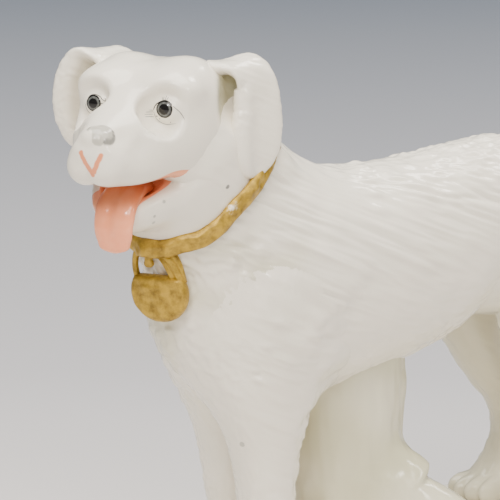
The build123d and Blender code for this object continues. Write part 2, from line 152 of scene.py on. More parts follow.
@dataclass(frozen=True)
class Loft:
    """Oval sections across a straight axis, with domed ends.

    A station is (run, shift, half width, rise, drop). The field is the distance from the section's middle,
    times one less 1/q, where q is the superellipse value of the point in its section.
    """

    origin: tuple
    axis: tuple
    rise: tuple
    stations: tuple
    domes: tuple = (0.0, 0.0)
    power: float = 2.0

    def __call__(self, points: Array) -> Array:
        """Reads the field, with each end of the loft held a hair inside its last section.

        Args:
            points: Places in millimetres.

        Returns:
            The field, below zero inside.
        """
        axis = unit(self.axis)
        rise = np.asarray(self.rise, float)
        rise = unit(rise - axis * (rise @ axis))
        table = np.asarray(self.stations, float)
        first, last = table[0, 0], table[-1, 0]
        local = points - np.asarray(self.origin, float)
        run = local @ axis
        inside = np.clip(run, first + HAIR, last - HAIR)
        shift, half, up, down = np.moveaxis(along(table, inside), -1, 0)
        scale = np.ones_like(run)
        for dome, gap in zip(self.domes, (inside - first, last - inside)):
            if dome:
                scale = scale * np.sqrt(np.clip(1 - (1 - np.clip(gap / dome, 0, 1)) ** 2, 1e-6, 1))
        side = local @ np.cross(rise, axis) + 1e-7
        above = local @ rise - shift
        q = (
            np.abs(side / (half * scale)) ** self.power
            + np.abs(above / (np.where(above > 0, up, down) * scale)) ** self.power
        ) ** (1 / self.power)
        out = np.hypot(side, above) * (1 - 1 / np.maximum(q, 1e-9))
        return np.where(run == inside, out, np.hypot(np.maximum(out, 0), run - inside))


@dataclass(frozen=True)
class Rays:
    """A grid of rays: each row has a start, an axis, an up direction and a tilt towards the axis.

    A ray's direction is cos(tilt) times (cos(turn) up + sin(turn) side) plus sin(tilt) axis.
    """

    starts: Array
    axes: Array
    ups: Array
    tilts: Array
    columns: int

    def directions(self) -> Array:
        """Works out the rays' directions.

        Returns:
            Unit directions, rows by columns by three.
        """
        axes = unit(self.axes)
        ups = unit(self.ups - axes * np.sum(self.ups * axes, -1, keepdims=True))
        sides = np.cross(ups, axes)
        turn = np.arange(self.columns) * TURN / self.columns
        around = (
            np.cos(turn)[None, :, None] * ups[:, None] + np.sin(turn)[None, :, None] * sides[:, None]
        )
        tilt = np.asarray(self.tilts, float)[:, None, None]
        return np.cos(tilt) * around + np.sin(tilt) * axes[:, None]

    def cast(self, form: Form, limit: float | Array, steps: int = 30) -> Array:
        """Finds where each ray last leaves the form.

        The ray is walked inwards from its limit until the field turns negative, and that step is halved.

        Args:
            form: The field.
            limit: Longest reach of a ray, one number or one for each row and column.
            steps: Steps of the inward walk.

        Returns:
            Points on the form, rows by columns by three.
        """
        ways = self.directions()
        starts = np.broadcast_to(self.starts[:, None], ways.shape).reshape(-1, 3)
        flat = ways.reshape(-1, 3)
        far = np.broadcast_to(np.asarray(limit, float), ways.shape[:2]).reshape(-1).copy()
        outer, inner = far.copy(), np.zeros_like(far)
        open_rays = np.arange(len(far))
        for step in range(steps):
            reach = far[open_rays] * (1 - step / steps)
            value = form(starts[open_rays] + flat[open_rays] * reach[:, None])
            hit = value < 0
            inner[open_rays[hit]] = reach[hit]
            outer[open_rays[~hit]] = reach[~hit]
            open_rays = open_rays[~hit]
            if not len(open_rays):
                break
        for _ in range(HALVINGS):
            middle = (inner + outer) / 2
            hit = form(starts + flat * middle[:, None]) < 0
            inner = np.where(hit, middle, inner)
            outer = np.where(hit, outer, middle)
        return (starts + flat * ((inner + outer) / 2)[:, None]).reshape(ways.shape)


def stacked(*groups: Rays) -> Rays:
    """Joins the rows of several grids.

    Args:
        groups: Grids that have the same columns.

    Returns:
        One grid with all their rows, in order.
    """
    return Rays(
        np.concatenate([g.starts for g in groups]),
        np.concatenate([g.axes for g in groups]),
        np.concatenate([g.ups for g in groups]),
        np.concatenate([np.asarray(g.tilts, float) for g in groups]),
        groups[0].columns,
    )


def fan(start: tuple, axis: tuple, up: tuple, tilts: Array, columns: int) -> Rays:
    """Makes rays from one point, for the cap of a form.

    Args:
        start: The point.
        axis: The axis that the rows tilt towards.
        up: Direction of the first column.
        tilts: The tilt of each row, in radians.
        columns: Rays in a row.

    Returns:
        The grid.
    """
    rows = len(tilts)
    return Rays(*(np.tile(np.asarray(v, float), (rows, 1)) for v in (start, axis, up)), tilts, columns)


def rank(starts: Array, axis: tuple, up: tuple, columns: int) -> Rays:
    """Makes rays square to one axis.

    Args:
        starts: Where each row starts.
        axis: The axis that all rows share.
        up: Direction of the first column.
        columns: Rays in a row.

    Returns:
        The grid.
    """
    rows = len(starts)
    return Rays(
        np.asarray(starts, float),
        np.tile(np.asarray(axis, float), (rows, 1)),
        np.tile(np.asarray(up, float), (rows, 1)),
        np.zeros(rows),
        columns,
    )


def slope_of(form: Form, points: Array, step: float = 0.15) -> Array:
    """Outward directions of a form at points, from differences of its field over a small step."""
    shifts = np.eye(3) * step
    return unit(np.stack([form(points + s) - form(points - s) for s in shifts], -1))


class Relief:
    """Seeded gradient noise: random slopes at the corners of cells, blended with a quintic."""

    def __init__(self, seed: int) -> None:
        """Draws the table of slopes and the order that mixes the cells.

        Args:
            seed: Seed of the draws.
        """
        draw = np.random.default_rng(seed)
        self.order = draw.permutation(256)
        self.slopes = unit(draw.normal(size=(256, 3)))

    def __call__(self, points: Array) -> Array:
        """Reads the noise.

        Args:
            points: Places, in cells.

        Returns:
            Values of about -0.7 to 0.7.
        """
        cell = np.floor(points).astype(int)
        part = points - cell
        ease = part**3 * (part * (part * 6 - 15) + 10)
        total = np.zeros(points.shape[:-1])
        for corner in np.ndindex(2, 2, 2):
            key = cell + np.array(corner)
            mixed = self.order[key[..., 0] % 256]
            mixed = self.order[(mixed + key[..., 1]) % 256]
            mixed = self.order[(mixed + key[..., 2]) % 256]
            weight = np.prod(np.where(np.array(corner, bool), ease, 1 - ease), axis=-1)
            total = total + weight * np.sum(self.slopes[mixed] * (part - np.array(corner)), -1)
        return total


FUR = Relief(11)
DRIFT = Relief(23)
GRIT = Relief(37)


# Skins


@dataclass
class Skin:
    """A closed mesh in millimetres: its points, its faces and the values painted at its points."""

    points: Array
    faces: list
    paint: dict = field(default_factory=dict)


def weave(rows: Array, ring: bool = False) -> Skin:
    """Joins a grid into a closed skin.

    The columns close round. The first and last rows close in fans to their middles, or to each other.

    Args:
        rows: Points, rows by columns by three.
        ring: Joins the last row to the first, as on a torus.

    Returns:
        The skin, with its faces outwards.
    """
    count, turns = rows.shape[:2]
    points = rows.reshape(-1, 3)
    index = np.arange(count * turns).reshape(count, turns)
    ahead = np.roll(index, -1, axis=1)
    if ring:
        below, above = (index, ahead), (np.roll(index, -1, axis=0), np.roll(ahead, -1, axis=0))
    else:
        below, above = (index[:-1], ahead[:-1]), (index[1:], ahead[1:])
    quads = np.stack([below[0], below[1], above[1], above[0]], -1).reshape(-1, 4)
    fans = np.zeros((0, 3), int)
    if not ring:
        points = np.concatenate([points, rows[:1].mean(1), rows[-1:].mean(1)])
        start, end = count * turns, count * turns + 1
        fans = np.concatenate(
            [
                np.stack([ahead[0], index[0], np.full(turns, start)], -1),
                np.stack([index[-1], ahead[-1], np.full(turns, end)], -1),
            ]
        )
    corners = np.concatenate([quads[:, [0, 1, 2]], quads[:, [0, 2, 3]], fans])
    a, b, c = (points[corners[:, i]] - points.mean(0) for i in range(3))
    if np.sum(a * np.cross(b, c)) < 0:
        quads, fans = quads[:, ::-1], fans[:, ::-1]
    return Skin(points, quads.tolist() + fans.tolist())


def joined(*skins: Skin) -> Skin:
    """Puts several skins into one, each still closed by itself.

    Args:
        skins: The skins, painted or not.

    Returns:
        The skin of all of them. A value that one of them lacks is left unpainted there.
    """
    points, faces, start = [], [], 0
    names = sorted({name for skin in skins for name in skin.paint})
    for skin in skins:
        points.append(skin.points)
        faces.extend([[corner + start for corner in face] for face in skin.faces])
        start += len(skin.points)
    paint = {
        name: np.concatenate([s.paint.get(name, np.full(len(s.points), UNPAINTED)) for s in skins])
        for name in names
    }
    return Skin(np.concatenate(points), faces, paint)


def carry(path: Array, sides: Array, halves: Array, columns: int, power: float = 2.0) -> Array:
    """Carries a superelliptic profile along a path.

    At each path point the profile is half width times the signed 2/power root of cos(turn) to the side, and
    half thickness times that of sin(turn) square to it.

    Args:
        path: Points along the middle.
        sides: Directions of the profile's width.
        halves: Half width and half thickness at each point.
        columns: Points around the profile.
        power: Exponent of the superellipse.

    Returns:
        Points, rows by columns by three.
    """
    run = unit(np.gradient(path, axis=0))
    sides = unit(sides - run * np.sum(sides * run, -1, keepdims=True))
    over = np.cross(run, sides)
    turn = np.arange(columns) * TURN / columns
    flat = np.sign(np.cos(turn)) * np.abs(np.cos(turn)) ** (2 / power)
    thick = np.sign(np.sin(turn)) * np.abs(np.sin(turn)) ** (2 / power)
    return (
        path[:, None]
        + sides[:, None] * (halves[:, None, :1] * flat[None, :, None])
        + over[:, None] * (halves[:, None, 1:] * thick[None, :, None])
    )


def flared(rows: Array, ground: Form, reach: float, outward: Array) -> Array:
    """Swells a grid towards the form it grows from by (reach - distance) squared over 4 reach."""
    near = np.clip(reach - np.abs(ground(rows)), 0, None)
    return rows + outward * (near * near / (4 * reach))[..., None]


def outward_of(rows: Array) -> Array:
    """Outward directions of a grid, from the cross of its two parameter directions.

    Args:
        rows: Points, rows by columns by three.

    Returns:
        Unit directions that, on the whole, point away from the middles of the rows.
    """
    down = np.gradient(rows, axis=0)
    across = np.roll(rows, -1, axis=1) - np.roll(rows, 1, axis=1)
    normal = unit(np.cross(across, down))
    middle = rows.mean(1, keepdims=True)
    sign = np.sign(np.sum(normal * (rows - middle), -1).sum())
    return normal * sign


# Finishes


def connect(tree: bpy.types.NodeTree, node: bpy.types.Node, inputs: dict) -> None:
    """Sets a node's sockets.

    Args:
        tree: The material's node tree.
        node: The node.
        inputs: Socket names or numbers, each with a value or with the output that feeds it.
    """
    for name, value in inputs.items():
        if isinstance(value, Socket):
            tree.links.new(value, node.inputs[name])
        else:
            node.inputs[name].default_value = value


def add_node(tree: bpy.types.NodeTree, kind: str, settings: dict, inputs: dict) -> bpy.types.Node:
    """Adds a node with its settings, and the values or links of its sockets.

    Args:
        tree: The material's node tree.
        kind: Blender's name of the node type.
        settings: Properties of the node.
        inputs: Socket names or numbers, each with a value or with the output that feeds it.

    Returns:
        The node.
    """
    node = tree.nodes.new(kind)
    for name, value in settings.items():
        setattr(node, name, value)
    connect(tree, node, inputs)
    return node


class Brushwork:
    """A material in the making: its node tree, its shader and the piece's own coordinates."""

    def __init__(self, name: str) -> None:
        """Opens the material.

        Args:
            name: The material's name.
        """
        self.material = bpy.data.materials.new(name)
        self.material.use_nodes = True
        self.tree = self.material.node_tree
        self.shader = self.tree.nodes["Principled BSDF"]
        self.place = add_node(self.tree, "ShaderNodeTexCoord", {}, {}).outputs["Object"]

    def noise(self, size_mm: float, detail: float, roughness: float = 0.5) -> Socket:
        """Makes noise whose cells have a real size.

        Args:
            size_mm: The size of a cell.
            detail: Octaves of finer noise.
            roughness: The share of each finer octave.

        Returns:
            The noise, from 0 to 1.
        """
        inputs = {"Scale": 1 / (size_mm * MM), "Detail": detail, "Roughness": roughness}
        made = add_node(self.tree, "ShaderNodeTexNoise", {}, {"Vector": self.place, **inputs})
        return made.outputs["Fac"]

    def painted(self, name: str) -> Socket:
        """The value that is painted under a name at the mesh's points."""
        return add_node(self.tree, "ShaderNodeAttribute", {"attribute_name": name}, {}).outputs["Fac"]

    def reckon(self, operation: str, *values: Socket | float) -> Socket:
        """Works one step of arithmetic on sockets and numbers."""
        made = add_node(self.tree, "ShaderNodeMath", {"operation": operation}, dict(enumerate(values)))
        return made.outputs[0]

    def mix(self, share: Socket, first: Socket | str, second: Socket | str) -> Socket:
        """Blends two colours by a share of the second.

        Args:
            share: The share, from 0 to 1.
            first: A socket or a hex value.
            second: A socket or a hex value.

        Returns:
            The blend.
        """
        pair = [linear(colour) if isinstance(colour, str) else colour for colour in (first, second)]
        inputs = {0: share, 6: pair[0], 7: pair[1]}
        return add_node(self.tree, "ShaderNodeMix", {"data_type": "RGBA"}, inputs).outputs[2]

    def ranged(self, value: Socket, span: tuple, target: tuple = (0.0, 1.0), kind: str = "LINEAR") -> Socket:
        """Maps one range of values on to another.

        Args:
            value: The value.
            span: Least and greatest value that counts.
            target: What those two become.
            kind: Blender's name of the interpolation.

        Returns:
            The mapped value.
        """
        ends = ("From Min", "From Max", "To Min", "To Max")
        inputs = {"Value": value, **dict(zip(ends, (*span, *target)))}
        return add_node(self.tree, "ShaderNodeMapRange", {"interpolation_type": kind}, inputs).outputs[0]

    def ramp(self, value: Socket, stops: tuple) -> Socket:
        """Reads a colour ramp.

        Args:
            value: Where to read it.
            stops: Places that rise from first to last, each with its hex value.

        Returns:
            The colour.
        """
        made = add_node(self.tree, "ShaderNodeValToRGB", {}, {"Fac": value})
        elements = made.color_ramp.elements
        for element, (place, code) in zip(list(elements), (stops[0], stops[-1])):
            element.position = place
            element.color = linear(code)
        for place, code in stops[1:-1]:
            elements.new(place).color = linear(code)
        return made.outputs[0]

    def bump(self, height: Socket, strength: float, depth_mm: float) -> Socket:
        """Small relief of a real depth."""
        inputs = {"Height": height, "Strength": strength, "Distance": depth_mm * MM}
        return add_node(self.tree, "ShaderNodeBump", {}, inputs).outputs[0]

    def done(self, inputs: dict) -> bpy.types.Material:
        """Feeds the shader and hands the material over."""
        connect(self.tree, self.shader, inputs)
        return self.material


class Finish(Enum):
    """The finishes that a piece can take, with the names of their materials."""

    GLAZE = "glazed_porcelain"
    GILDING = "burnished_gilding"
    ENAMEL = "coral_enamel"
    INK = "black_enamel"


@dataclass(frozen=True)
class GlazedPorcelain:
    """Cast porcelain under a clear gloss glaze.

    The white is a little uneven. A painted value turns it grey green as painted shade, with the green of
    pooled glaze, on the shaded hind legs, the stump, the hollows by the ears and patches of the breast. The
    gloss is high, with a faint orange peel. Painted values also bring in the coral enamel of the mouth,
    deepened inside the mouth as painted shade and deeper on the nose strokes, the worn nose and kiln specks.
    """

    slot: str = "white_glaze"
    paint: tuple = (
        ("pool", 0.0),
        ("worn", UNPAINTED),
        ("fleck", UNPAINTED),
        ("coral", UNPAINTED),
        ("depth", 0.0),
    )
    white: str = "#F4ECDD"
    cool: str = "#E9E4D4"
    # Grey green of the painted shade, tinted like pooled glaze.
    pool: str = "#C9C5A6"
    coral: str = "#F29D72"
    # Deeper coral: painted shade inside the mouth, and the deeper tone of the nose strokes.
    deep_and_shaded_coral: str = "#D47E56"
    worn: str = "#A9A598"
    bare: str = "#CBC7BA"
    fleck: str = "#5B5D5F"
    gloss: tuple = (0.112, 0.21)
    cloud_mm: float = 17.0
    speckle_mm: float = 2.4
    edge_mm: float = 0.16
    peel_mm: float = 1.6
    peel_depth_mm: float = 0.3

    def material(self) -> bpy.types.Material:
        """Builds the node material.

        Returns:
            The material, which reads the values painted on a skin.
        """
        work = Brushwork(Finish.GLAZE.value)
        cloud = work.noise(self.cloud_mm, 2.0)
        speckle = work.noise(self.speckle_mm, 3.0)
        edge = (-self.edge_mm, self.edge_mm)
        base = work.mix(cloud, self.white, self.cool)
        for name, span, share, first, second in (
            ("pool", (0.0, 1.0), speckle, self.pool, self.pool),
            ("worn", edge, speckle, self.worn, self.bare),
            ("fleck", edge, speckle, self.fleck, self.worn),
            ("coral", edge, work.painted("depth"), self.coral, self.deep_and_shaded_coral),
        ):
            tone = work.mix(share, first, second)
            base = work.mix(work.ranged(work.painted(name), span, kind="SMOOTHSTEP"), base, tone)
        return work.done(
            {
                "Base Color": base,
                "Roughness": work.ranged(cloud, (0.0, 1.0), self.gloss),
                "Normal": work.bump(work.noise(self.peel_mm, 2.0), 0.10, self.peel_depth_mm),
                "IOR": 1.5,
                "Specular IOR Level": 0.5,
            }
        )


@dataclass(frozen=True)
class BurnishedGilding:
    """Honey gilding, brushed on over the glaze and burnished by hand.

    Brush marks and handling leave darker hollows and thin, paler ridges, and the white shows at the wear.
    """

    slot: str = "gilding"
    paint: tuple = (("bare", -1.0),)
    gold: str = "#B9972F"
    dark: str = "#7A5F1A"
    bare: str = "#E9E4DA"
    tones: tuple = (0.3, 0.6)
    wear: tuple = (0.9, 1.25)
    ragged: float = 1.6
    metallic: float = 0.4
    roughness: float = 0.44
    brush_mm: float = 2.6
    brush_depth_mm: float = 0.4

    def material(self) -> bpy.types.Material:
        """Builds the node material.

        Returns:
            The material, whose wear is the painted value made ragged by the brush marks.
        """
        work = Brushwork(Finish.GILDING.value)
        brush = work.noise(self.brush_mm, 4.0, 0.65)
        tone = work.ramp(brush, ((self.tones[0], self.dark), (self.tones[1], self.gold)))
        ragged = work.reckon("MULTIPLY_ADD", brush, self.ragged, work.painted("bare"))
        worn = work.ranged(ragged, self.wear, kind="SMOOTHSTEP")
        return work.done(
            {
                "Base Color": work.mix(worn, tone, self.bare),
                "Metallic": work.ranged(worn, (0.0, 1.0), (self.metallic, 0.0)),
                "Roughness": self.roughness,
                "Normal": work.bump(brush, 0.35, self.brush_depth_mm),
            }
        )


@dataclass(frozen=True)
class CoralEnamel:
    """Coral enamel, brushed over the glaze and fired: glossy, streaked, paler where it is thin."""

    slot: str = "pink_enamel"
    paint: tuple = (("depth", 0.0),)
    pale: str = "#FFAE88"
    coral: str = "#F8905F"
    # Deep coral of the painted shade on the tongue's root, inside the mouth.
    deep_and_shaded_coral: str = "#D27A50"
    roughness: float = 0.16
    streak_mm: float = 3.2
    streak_depth_mm: float = 0.3

    def material(self) -> bpy.types.Material:
        """Builds the node material.

        Returns:
            The material, which is darkest where the painted depth is 1.
        """
        work = Brushwork(Finish.ENAMEL.value)
        streak = work.noise(self.streak_mm, 3.0)
        tone = work.mix(streak, self.pale, self.coral)
        return work.done(
            {
                "Base Color": work.mix(work.painted("depth"), tone, self.deep_and_shaded_coral),
                "Roughness": self.roughness,
                "Normal": work.bump(streak, 0.2, self.streak_depth_mm),
            }
        )


@dataclass(frozen=True)
class BlackEnamel:
    """Black enamel of the eyes and lashes, which turns grey where it is painted thin, as on the iris."""

    slot: str = "white_glaze"
    paint: tuple = (("iris", 0.0),)
    black: str = "#0E0C0C"
    iris: str = "#7C7F7C"
    roughness: float = 0.1
    grain_mm: float = 0.6

    def material(self) -> bpy.types.Material:
        """Builds the node material.

        Returns:
            The material, which reads the iris's share of the grey, mottled by a grain.
        """
        work = Brushwork(Finish.INK.value)
        mottled = work.reckon("MULTIPLY", work.noise(self.grain_mm, 2.0), work.painted("iris"))
        return work.done(
            {"Base Color": work.mix(mottled, self.black, self.iris), "Roughness": self.roughness}
        )


class Workshop:
    """Holds the finishes and turns skins into pieces that ride on the frame."""

    def __init__(self) -> None:
        """Makes each finish and its material once."""
        self.finishes = {
            Finish.GLAZE: GlazedPorcelain(),
            Finish.GILDING: BurnishedGilding(),
            Finish.ENAMEL: CoralEnamel(),
            Finish.INK: BlackEnamel(),
        }
        self.materials = {name: finish.material() for name, finish in self.finishes.items()}

    def piece(self, name: str, skin: Skin, finish: Finish, nodes: tuple = ()) -> bpy.types.Object:
        """Makes an object of a skin.

        Args:
            name: The piece's name.
            skin: Its closed mesh in millimetres.
            finish: Which finish it takes.
            nodes: Solids of the frame that it stands for.

        Returns:
            The object, at the origin, with its place in its mesh.
        """
        chosen = self.finishes[finish]
        mesh = bpy.data.meshes.new(name)
        mesh.from_pydata((skin.points * MM).tolist(), [], skin.faces)
        mesh.polygons.foreach_set("use_smooth", np.ones(len(mesh.polygons), bool))
        for value_name, blank in chosen.paint:
            layer = mesh.attributes.new(value_name, "FLOAT", "POINT")
            values = skin.paint.get(value_name, np.full(len(skin.points), blank))
            layer.data.foreach_set("value", np.asarray(values, np.float32))
        mesh.materials.append(self.materials[finish])
        mesh.update()
        made = bpy.data.objects.new(name, mesh)
        bpy.context.scene.collection.objects.link(made)
        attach(made, "root")
        if nodes:
            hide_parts(*nodes)
        LOG.info("%s: %d points, %d faces", name, len(skin.points), len(skin.faces))
        return made


# Body, legs and tail

# Noise cells of the coat to a millimetre, axis by axis: the locks lie long, down and back.
LOCK_CELLS = np.array([[0.10, 0.03, 0.10], [0.0, 0.36, 0.0], [0.20, 0.0, 0.26]])
PATCH_MM = 19.0
SWELL_MM = 7.5

# How far below its ground a flare dies, and how fast it sinks past its reach.
FLARE_UNDER = 0.03
FLARE_SLOPE = 0.3

# Toes of a paw, across in toe widths and back in millimetres, and their rise and half height.
TOES = ((-1.5, 1.6), (-0.5, 0.0), (0.5, 0.0), (1.5, 1.6))
TOE_RISE = 2.6
TOE_HALF_HEIGHT = 3.4

# Kiln specks, each with its place and its radius.
LEG_SPECK = (-55.5, -12.0, 49.2, 0.75)
NAPE_SPECK = (-65.7, -17.5, 117.1, 0.62)
JAW_SPECKS = ((-84.11, -14.18, 115.44, 0.5), (-86.49, -13.3, 111.99, 0.42), (-85.96, -12.41, 110.21, 0.5))


def fur(points: Array) -> Array:
    """Height of the modelled coat: rounded locks, long down the back, parted by sharp grooves, in patches.

    The locks are the size of a noise with its sign taken off, so that its zeros become the grooves.

    Args:
        points: Places on the figure.

    Returns:
        Heights in millimetres, for a coat of strength 1.
    """
    cells = points @ LOCK_CELLS
    locks = 0.55 * FUR(cells * 1.25) + 1.5 * np.abs(FUR(cells * 1.1 + 7.0)) - 0.45
    strands = GRIT(cells * 2.6)
    patches = smooth(DRIFT(points / PATCH_MM), -0.2, 0.25)
    return (0.85 * locks + 0.45 * strands) * (0.5 + 0.5 * patches) + 0.3 * GRIT(points / SWELL_MM)


def sunk(ground: Array, own: Array, gap: float) -> Array:
    """A ground's field, sunk below its surface by a set slope where the own field is past the gap."""
    return ground + FLARE_UNDER + FLARE_SLOPE * np.clip(own - gap, 0, None)


def specks(points: Array, *spots: tuple) -> Array:
    """Signed distance into kiln specks: each spot's radius less the distance to it, the largest one."""
    depths = [spot[3] - np.linalg.norm(points - np.array(spot[:3]), axis=-1) for spot in spots]
    return np.maximum.reduce(depths)


@dataclass
class Body:
    """The hollow cast of body and neck, up to the collar."""

    barrel: Loft = Loft(
        (0, 0, 0),
        (1, 0, 0),
        (0, 0, 1),
        (
            (-71, 82.8, 18.0, 21, 23),
            (-60, 83.9, 19.2, 23, 24.5),
            (-48.7, 84.5, 20, 26.2, 27.4),
            (-29.7, 84.5, 21, 28.5, 29.4),
            (-8.6, 85.1, 20.6, 27.6, 27.9),
            (11.2, 86.2, 19.7, 25.7, 26.2),
            (26, 88.5, 18.9, 23.9, 24.5),
            (37.3, 91.3, 18.1, 21.9, 20.5),
            (52.1, 92.5, 16.8, 20.5, 18),
            (62, 92, 16.8, 19.5, 18),
            (69, 91.3, 16.5, 19, 17.5),
        ),
        (27.0, 19.0),
        2.1,
    )
    neck: Loft = Loft(
        (-44.93, 0, 92.77),
        (-0.5519, 0, 0.8339),
        (-0.8339, 0, -0.5519),
        (
            (-14, 0, 19.5, 26, 34),
            (0, 0, 18.8, 25.5, 32.1),
            (13, 0, 17.7, 23.8, 28.2),
            (26, 0, 16.5, 22, 23.6),
            (33, 0, 16.4, 19.0, 20.6),
            (40, 0, 15.6, 14.6, 17.4),
            (47, 0, 13.2, 10.5, 13.5),
        ),
        (0.0, 9.0),
    )
    fold: float = 9.0
    rump: tuple = (50, 0, 92.3)
    pivot: tuple = (-25, 0, 137.1)
    drops: tuple = (51.1, 41.1)
    sweep: float = 56.5
    middle: float = 86.0
    reach: float = 62.0
    cap_rows: int = 34
    barrel_rows: int = 116
    fan_rows: int = 132
    columns: int = 300

    def form(self, points: Array) -> Array:
        """Barrel and neck, melted together over the fold."""
        return melt(self.barrel(points), self.neck(points), self.fold)

    def build(self) -> Skin:
        """Casts a cap at the rump, ranks along the barrel and a fan of planes round to the collar seam.

        The planes of the fan turn about a line above the withers, so they never cross in the body.

        Returns:
            The skin, with its coat in relief and painted grey-green shade in patches on the breast,
            tinted like pooled glaze.
        """
        ahead, up = (1, 0, 0), (0, 0, 1)
        rear = fan(self.rump, ahead, up, np.radians(np.linspace(87, 3, self.cap_rows)), self.columns)
        places = np.linspace(self.rump[0], self.pivot[0], self.barrel_rows)
        blend = smooth(-places, 5, 25)
        heights = along(self.barrel.stations, places)[:, 0] * (1 - blend) + self.middle * blend
        ranks = rank(np.stack([places, 0 * places, heights], -1), ahead, up, self.columns)
        turn = np.radians(np.linspace(0, self.sweep, self.fan_rows)[1:])
        down = np.stack([-np.sin(turn), 0 * turn, -np.cos(turn)], -1)
        share = np.linspace(0, 1, self.fan_rows)[1:, None]
        first, last = self.drops
        fans = Rays(
            np.array(self.pivot) + down * (first + (last - first) * share),
            np.cross(down, np.array([0, 1.0, 0])),
            -down,
            np.zeros(len(turn)),
            self.columns,
        )
        rows = stacked(rear, ranks, fans).cast(self.form, self.reach)
        skin = weave(rows + slope_of(self.form, rows) * (fur(rows) * self.coat(rows))[..., None])
        # Painted shade, grey green like pooled glaze, in soft patches on the breast.
        breast = smooth(-skin.points[:, 0], 22, 52) * (1 - smooth(skin.points[:, 2], 100, 118))
        skin.paint["pool"] = 0.6 * breast * smooth(DRIFT(skin.points / 13.0), -0.35, 0.35)
        return skin

    def coat(self, points: Array) -> Array:
        """Strength of the coat: full on neck, shoulder and back, less on breast and belly."""
        neck = smooth(-points[..., 0], 28, 56)
        return 0.6 + 0.75 * smooth(points[..., 2], 74, 100) + 0.95 * neck

    def dress(self, shop: Workshop) -> None:
        """Puts the body into the scene."""
        shop.piece("body_and_neck", self.build(), Finish.GLAZE, ("torso_shell",))


@dataclass
class Leg:
    """A leg with its paw, flared into the body."""

    name: str
    node: str
    foot: tuple
    stations: tuple
    toe: tuple
    crown: float
    reach: float = 7.0
    # Share of painted grey-green shade low on the leg, used on the shaded hind legs.
    pool: float = 0.0
    columns: int = 200
    cap_rows: int = 60

    def bone(self) -> Loft:
        """The leg's sections, upright above the foot."""
        return Loft(self.foot, (0, 0, 1), (1, 0, 0), self.stations, (0.0, 0.0), 2.2)

    def form(self, points: Array) -> Array:
        """The leg with four toes melted on to its paw.

        Args:
            points: Places in millimetres.

        Returns:
            The field.
        """
        value = self.bone()(points)
        ahead, wide, length = self.toe
        for place, back in TOES:
            centre = (self.foot[0] + ahead + back, self.foot[1] + place * wide, self.foot[2] + TOE_RISE)
            value = melt(value, ellipsoid(points, centre, (length, wide * 0.62, TOE_HALF_HEIGHT)), 1.0)
        return value

    def build(self, body: Body) -> Skin:
        """Casts ranks up the leg and a cap inside the body.

        The body's field is sunk below its own surface past the flare, so the flare dies under it. A fringe
        of rounded locks, the size of a sine, runs down behind the leg.

        Args:
            body: The body that the leg grows from.

        Returns:
            The skin, with its coat in relief and, by its share, painted grey-green shade low on the leg.
        """

        def flare(points: Array) -> Array:
            """The leg, flared into the sunk body."""
            own = self.form(points)
            return melt(own, sunk(body.form(points), own, 0.82 * self.reach), self.reach)

        up, back = (0, 0, 1), (1, 0, 0)
        rows = np.linspace(-0.4, self.crown, int(self.crown / 0.6))
        table = np.asarray(self.stations, float)
        middle = along(table, rows)[:, 0]
        starts = np.stack([self.foot[0] + middle, 0 * rows + self.foot[1], self.foot[2] + rows], -1)
        ranks = rank(starts, up, back, self.columns)
        cap = fan(starts[-1], up, back, np.radians(np.linspace(2, 86, self.cap_rows)), self.columns)
        full = stacked(ranks, cap)
        width = along(table, np.concatenate([rows, np.full(self.cap_rows, self.crown)]))[:, 2]
        grid = full.cast(flare, (width + self.reach * 1.6)[:, None])
        strength = 0.5 + (body.coat(grid) - 0.5) * smooth(grid[..., 2], 50, 70)
        behind = smooth(unit(grid - full.starts[:, None])[..., 0], 0.45, 0.95) * smooth(grid[..., 2], 22, 32)
        fringe = 0.8 * np.abs(np.sin(grid[..., 2] / 2.9 + 2.0 * DRIFT(grid / 15.0))) * behind
        sink = 0.4 * smooth(self.form(grid), 5.0, 11.0)
        grid = grid + slope_of(flare, grid) * (fur(grid) * strength + fringe - sink)[..., None]
        skin = weave(grid)
        # Painted grey-green shade, full up to 62 mm and gone by 86 mm.
        skin.paint["pool"] = self.pool * (1 - smooth(skin.points[:, 2], 62, 86))
        skin.paint["worn"] = specks(skin.points, LEG_SPECK)
        return skin

    def dress(self, shop: Workshop, body: Body) -> None:
        """Puts the leg into the scene."""
        shop.piece(self.name, self.build(body), Finish.GLAZE, (self.node,))


# Sections of a leg: height, setback, half width, and half length behind and ahead.
FORELEG = (
    (0, -6.3, 7.2, 9.8, 9.8),
    (3.3, -6.3, 7.8, 10.7, 10.7),
    (7.3, -4.9, 7.5, 9.2, 9.2),
    (11.9, -2.4, 6.6, 6.9, 6.9),
    (21.8, -2.0, 6.8, 7.4, 7.4),
    (30, -2.2, 7.6, 8.5, 8.5),
    (36.3, -2.5, 8.6, 10.0, 10.0),
    (45.5, -3.3, 9.8, 13.0, 13.0),
    (54, -3.6, 9.8, 14.4, 14.4),
    (62, -3.5, 8.6, 14.0, 14.0),
    (76, -3.0, 6.0, 11.0, 11.0),
)
HIND_LEG = (
    (0, 1.0, 6.9, 10.0, 10.0),
    (3.0, 1.5, 7.4, 10.7, 10.7),
    (7.0, 5.0, 6.9, 8.7, 8.7),
    (11.5, 7.2, 5.95, 6.6, 6.6),
    (17, 9.05, 5.7, 5.95, 5.95),
    (22.95, 8.6, 5.95, 6.6, 6.6),
    (33.15, 1.5, 6.6, 8.3, 8.3),
    (40, -2.9, 7.2, 9.5, 9.5),
    (48, -5.95, 8.2, 12.15, 12.15),
    (57.8, -6.45, 9.4, 14.9, 14.9),
    (68, -5.0, 9.7, 16.4, 16.4),
    (78.2, -3.0, 8.2, 14.9, 14.9),
    (85, -1.0, 5.0, 9.3, 9.3),
)


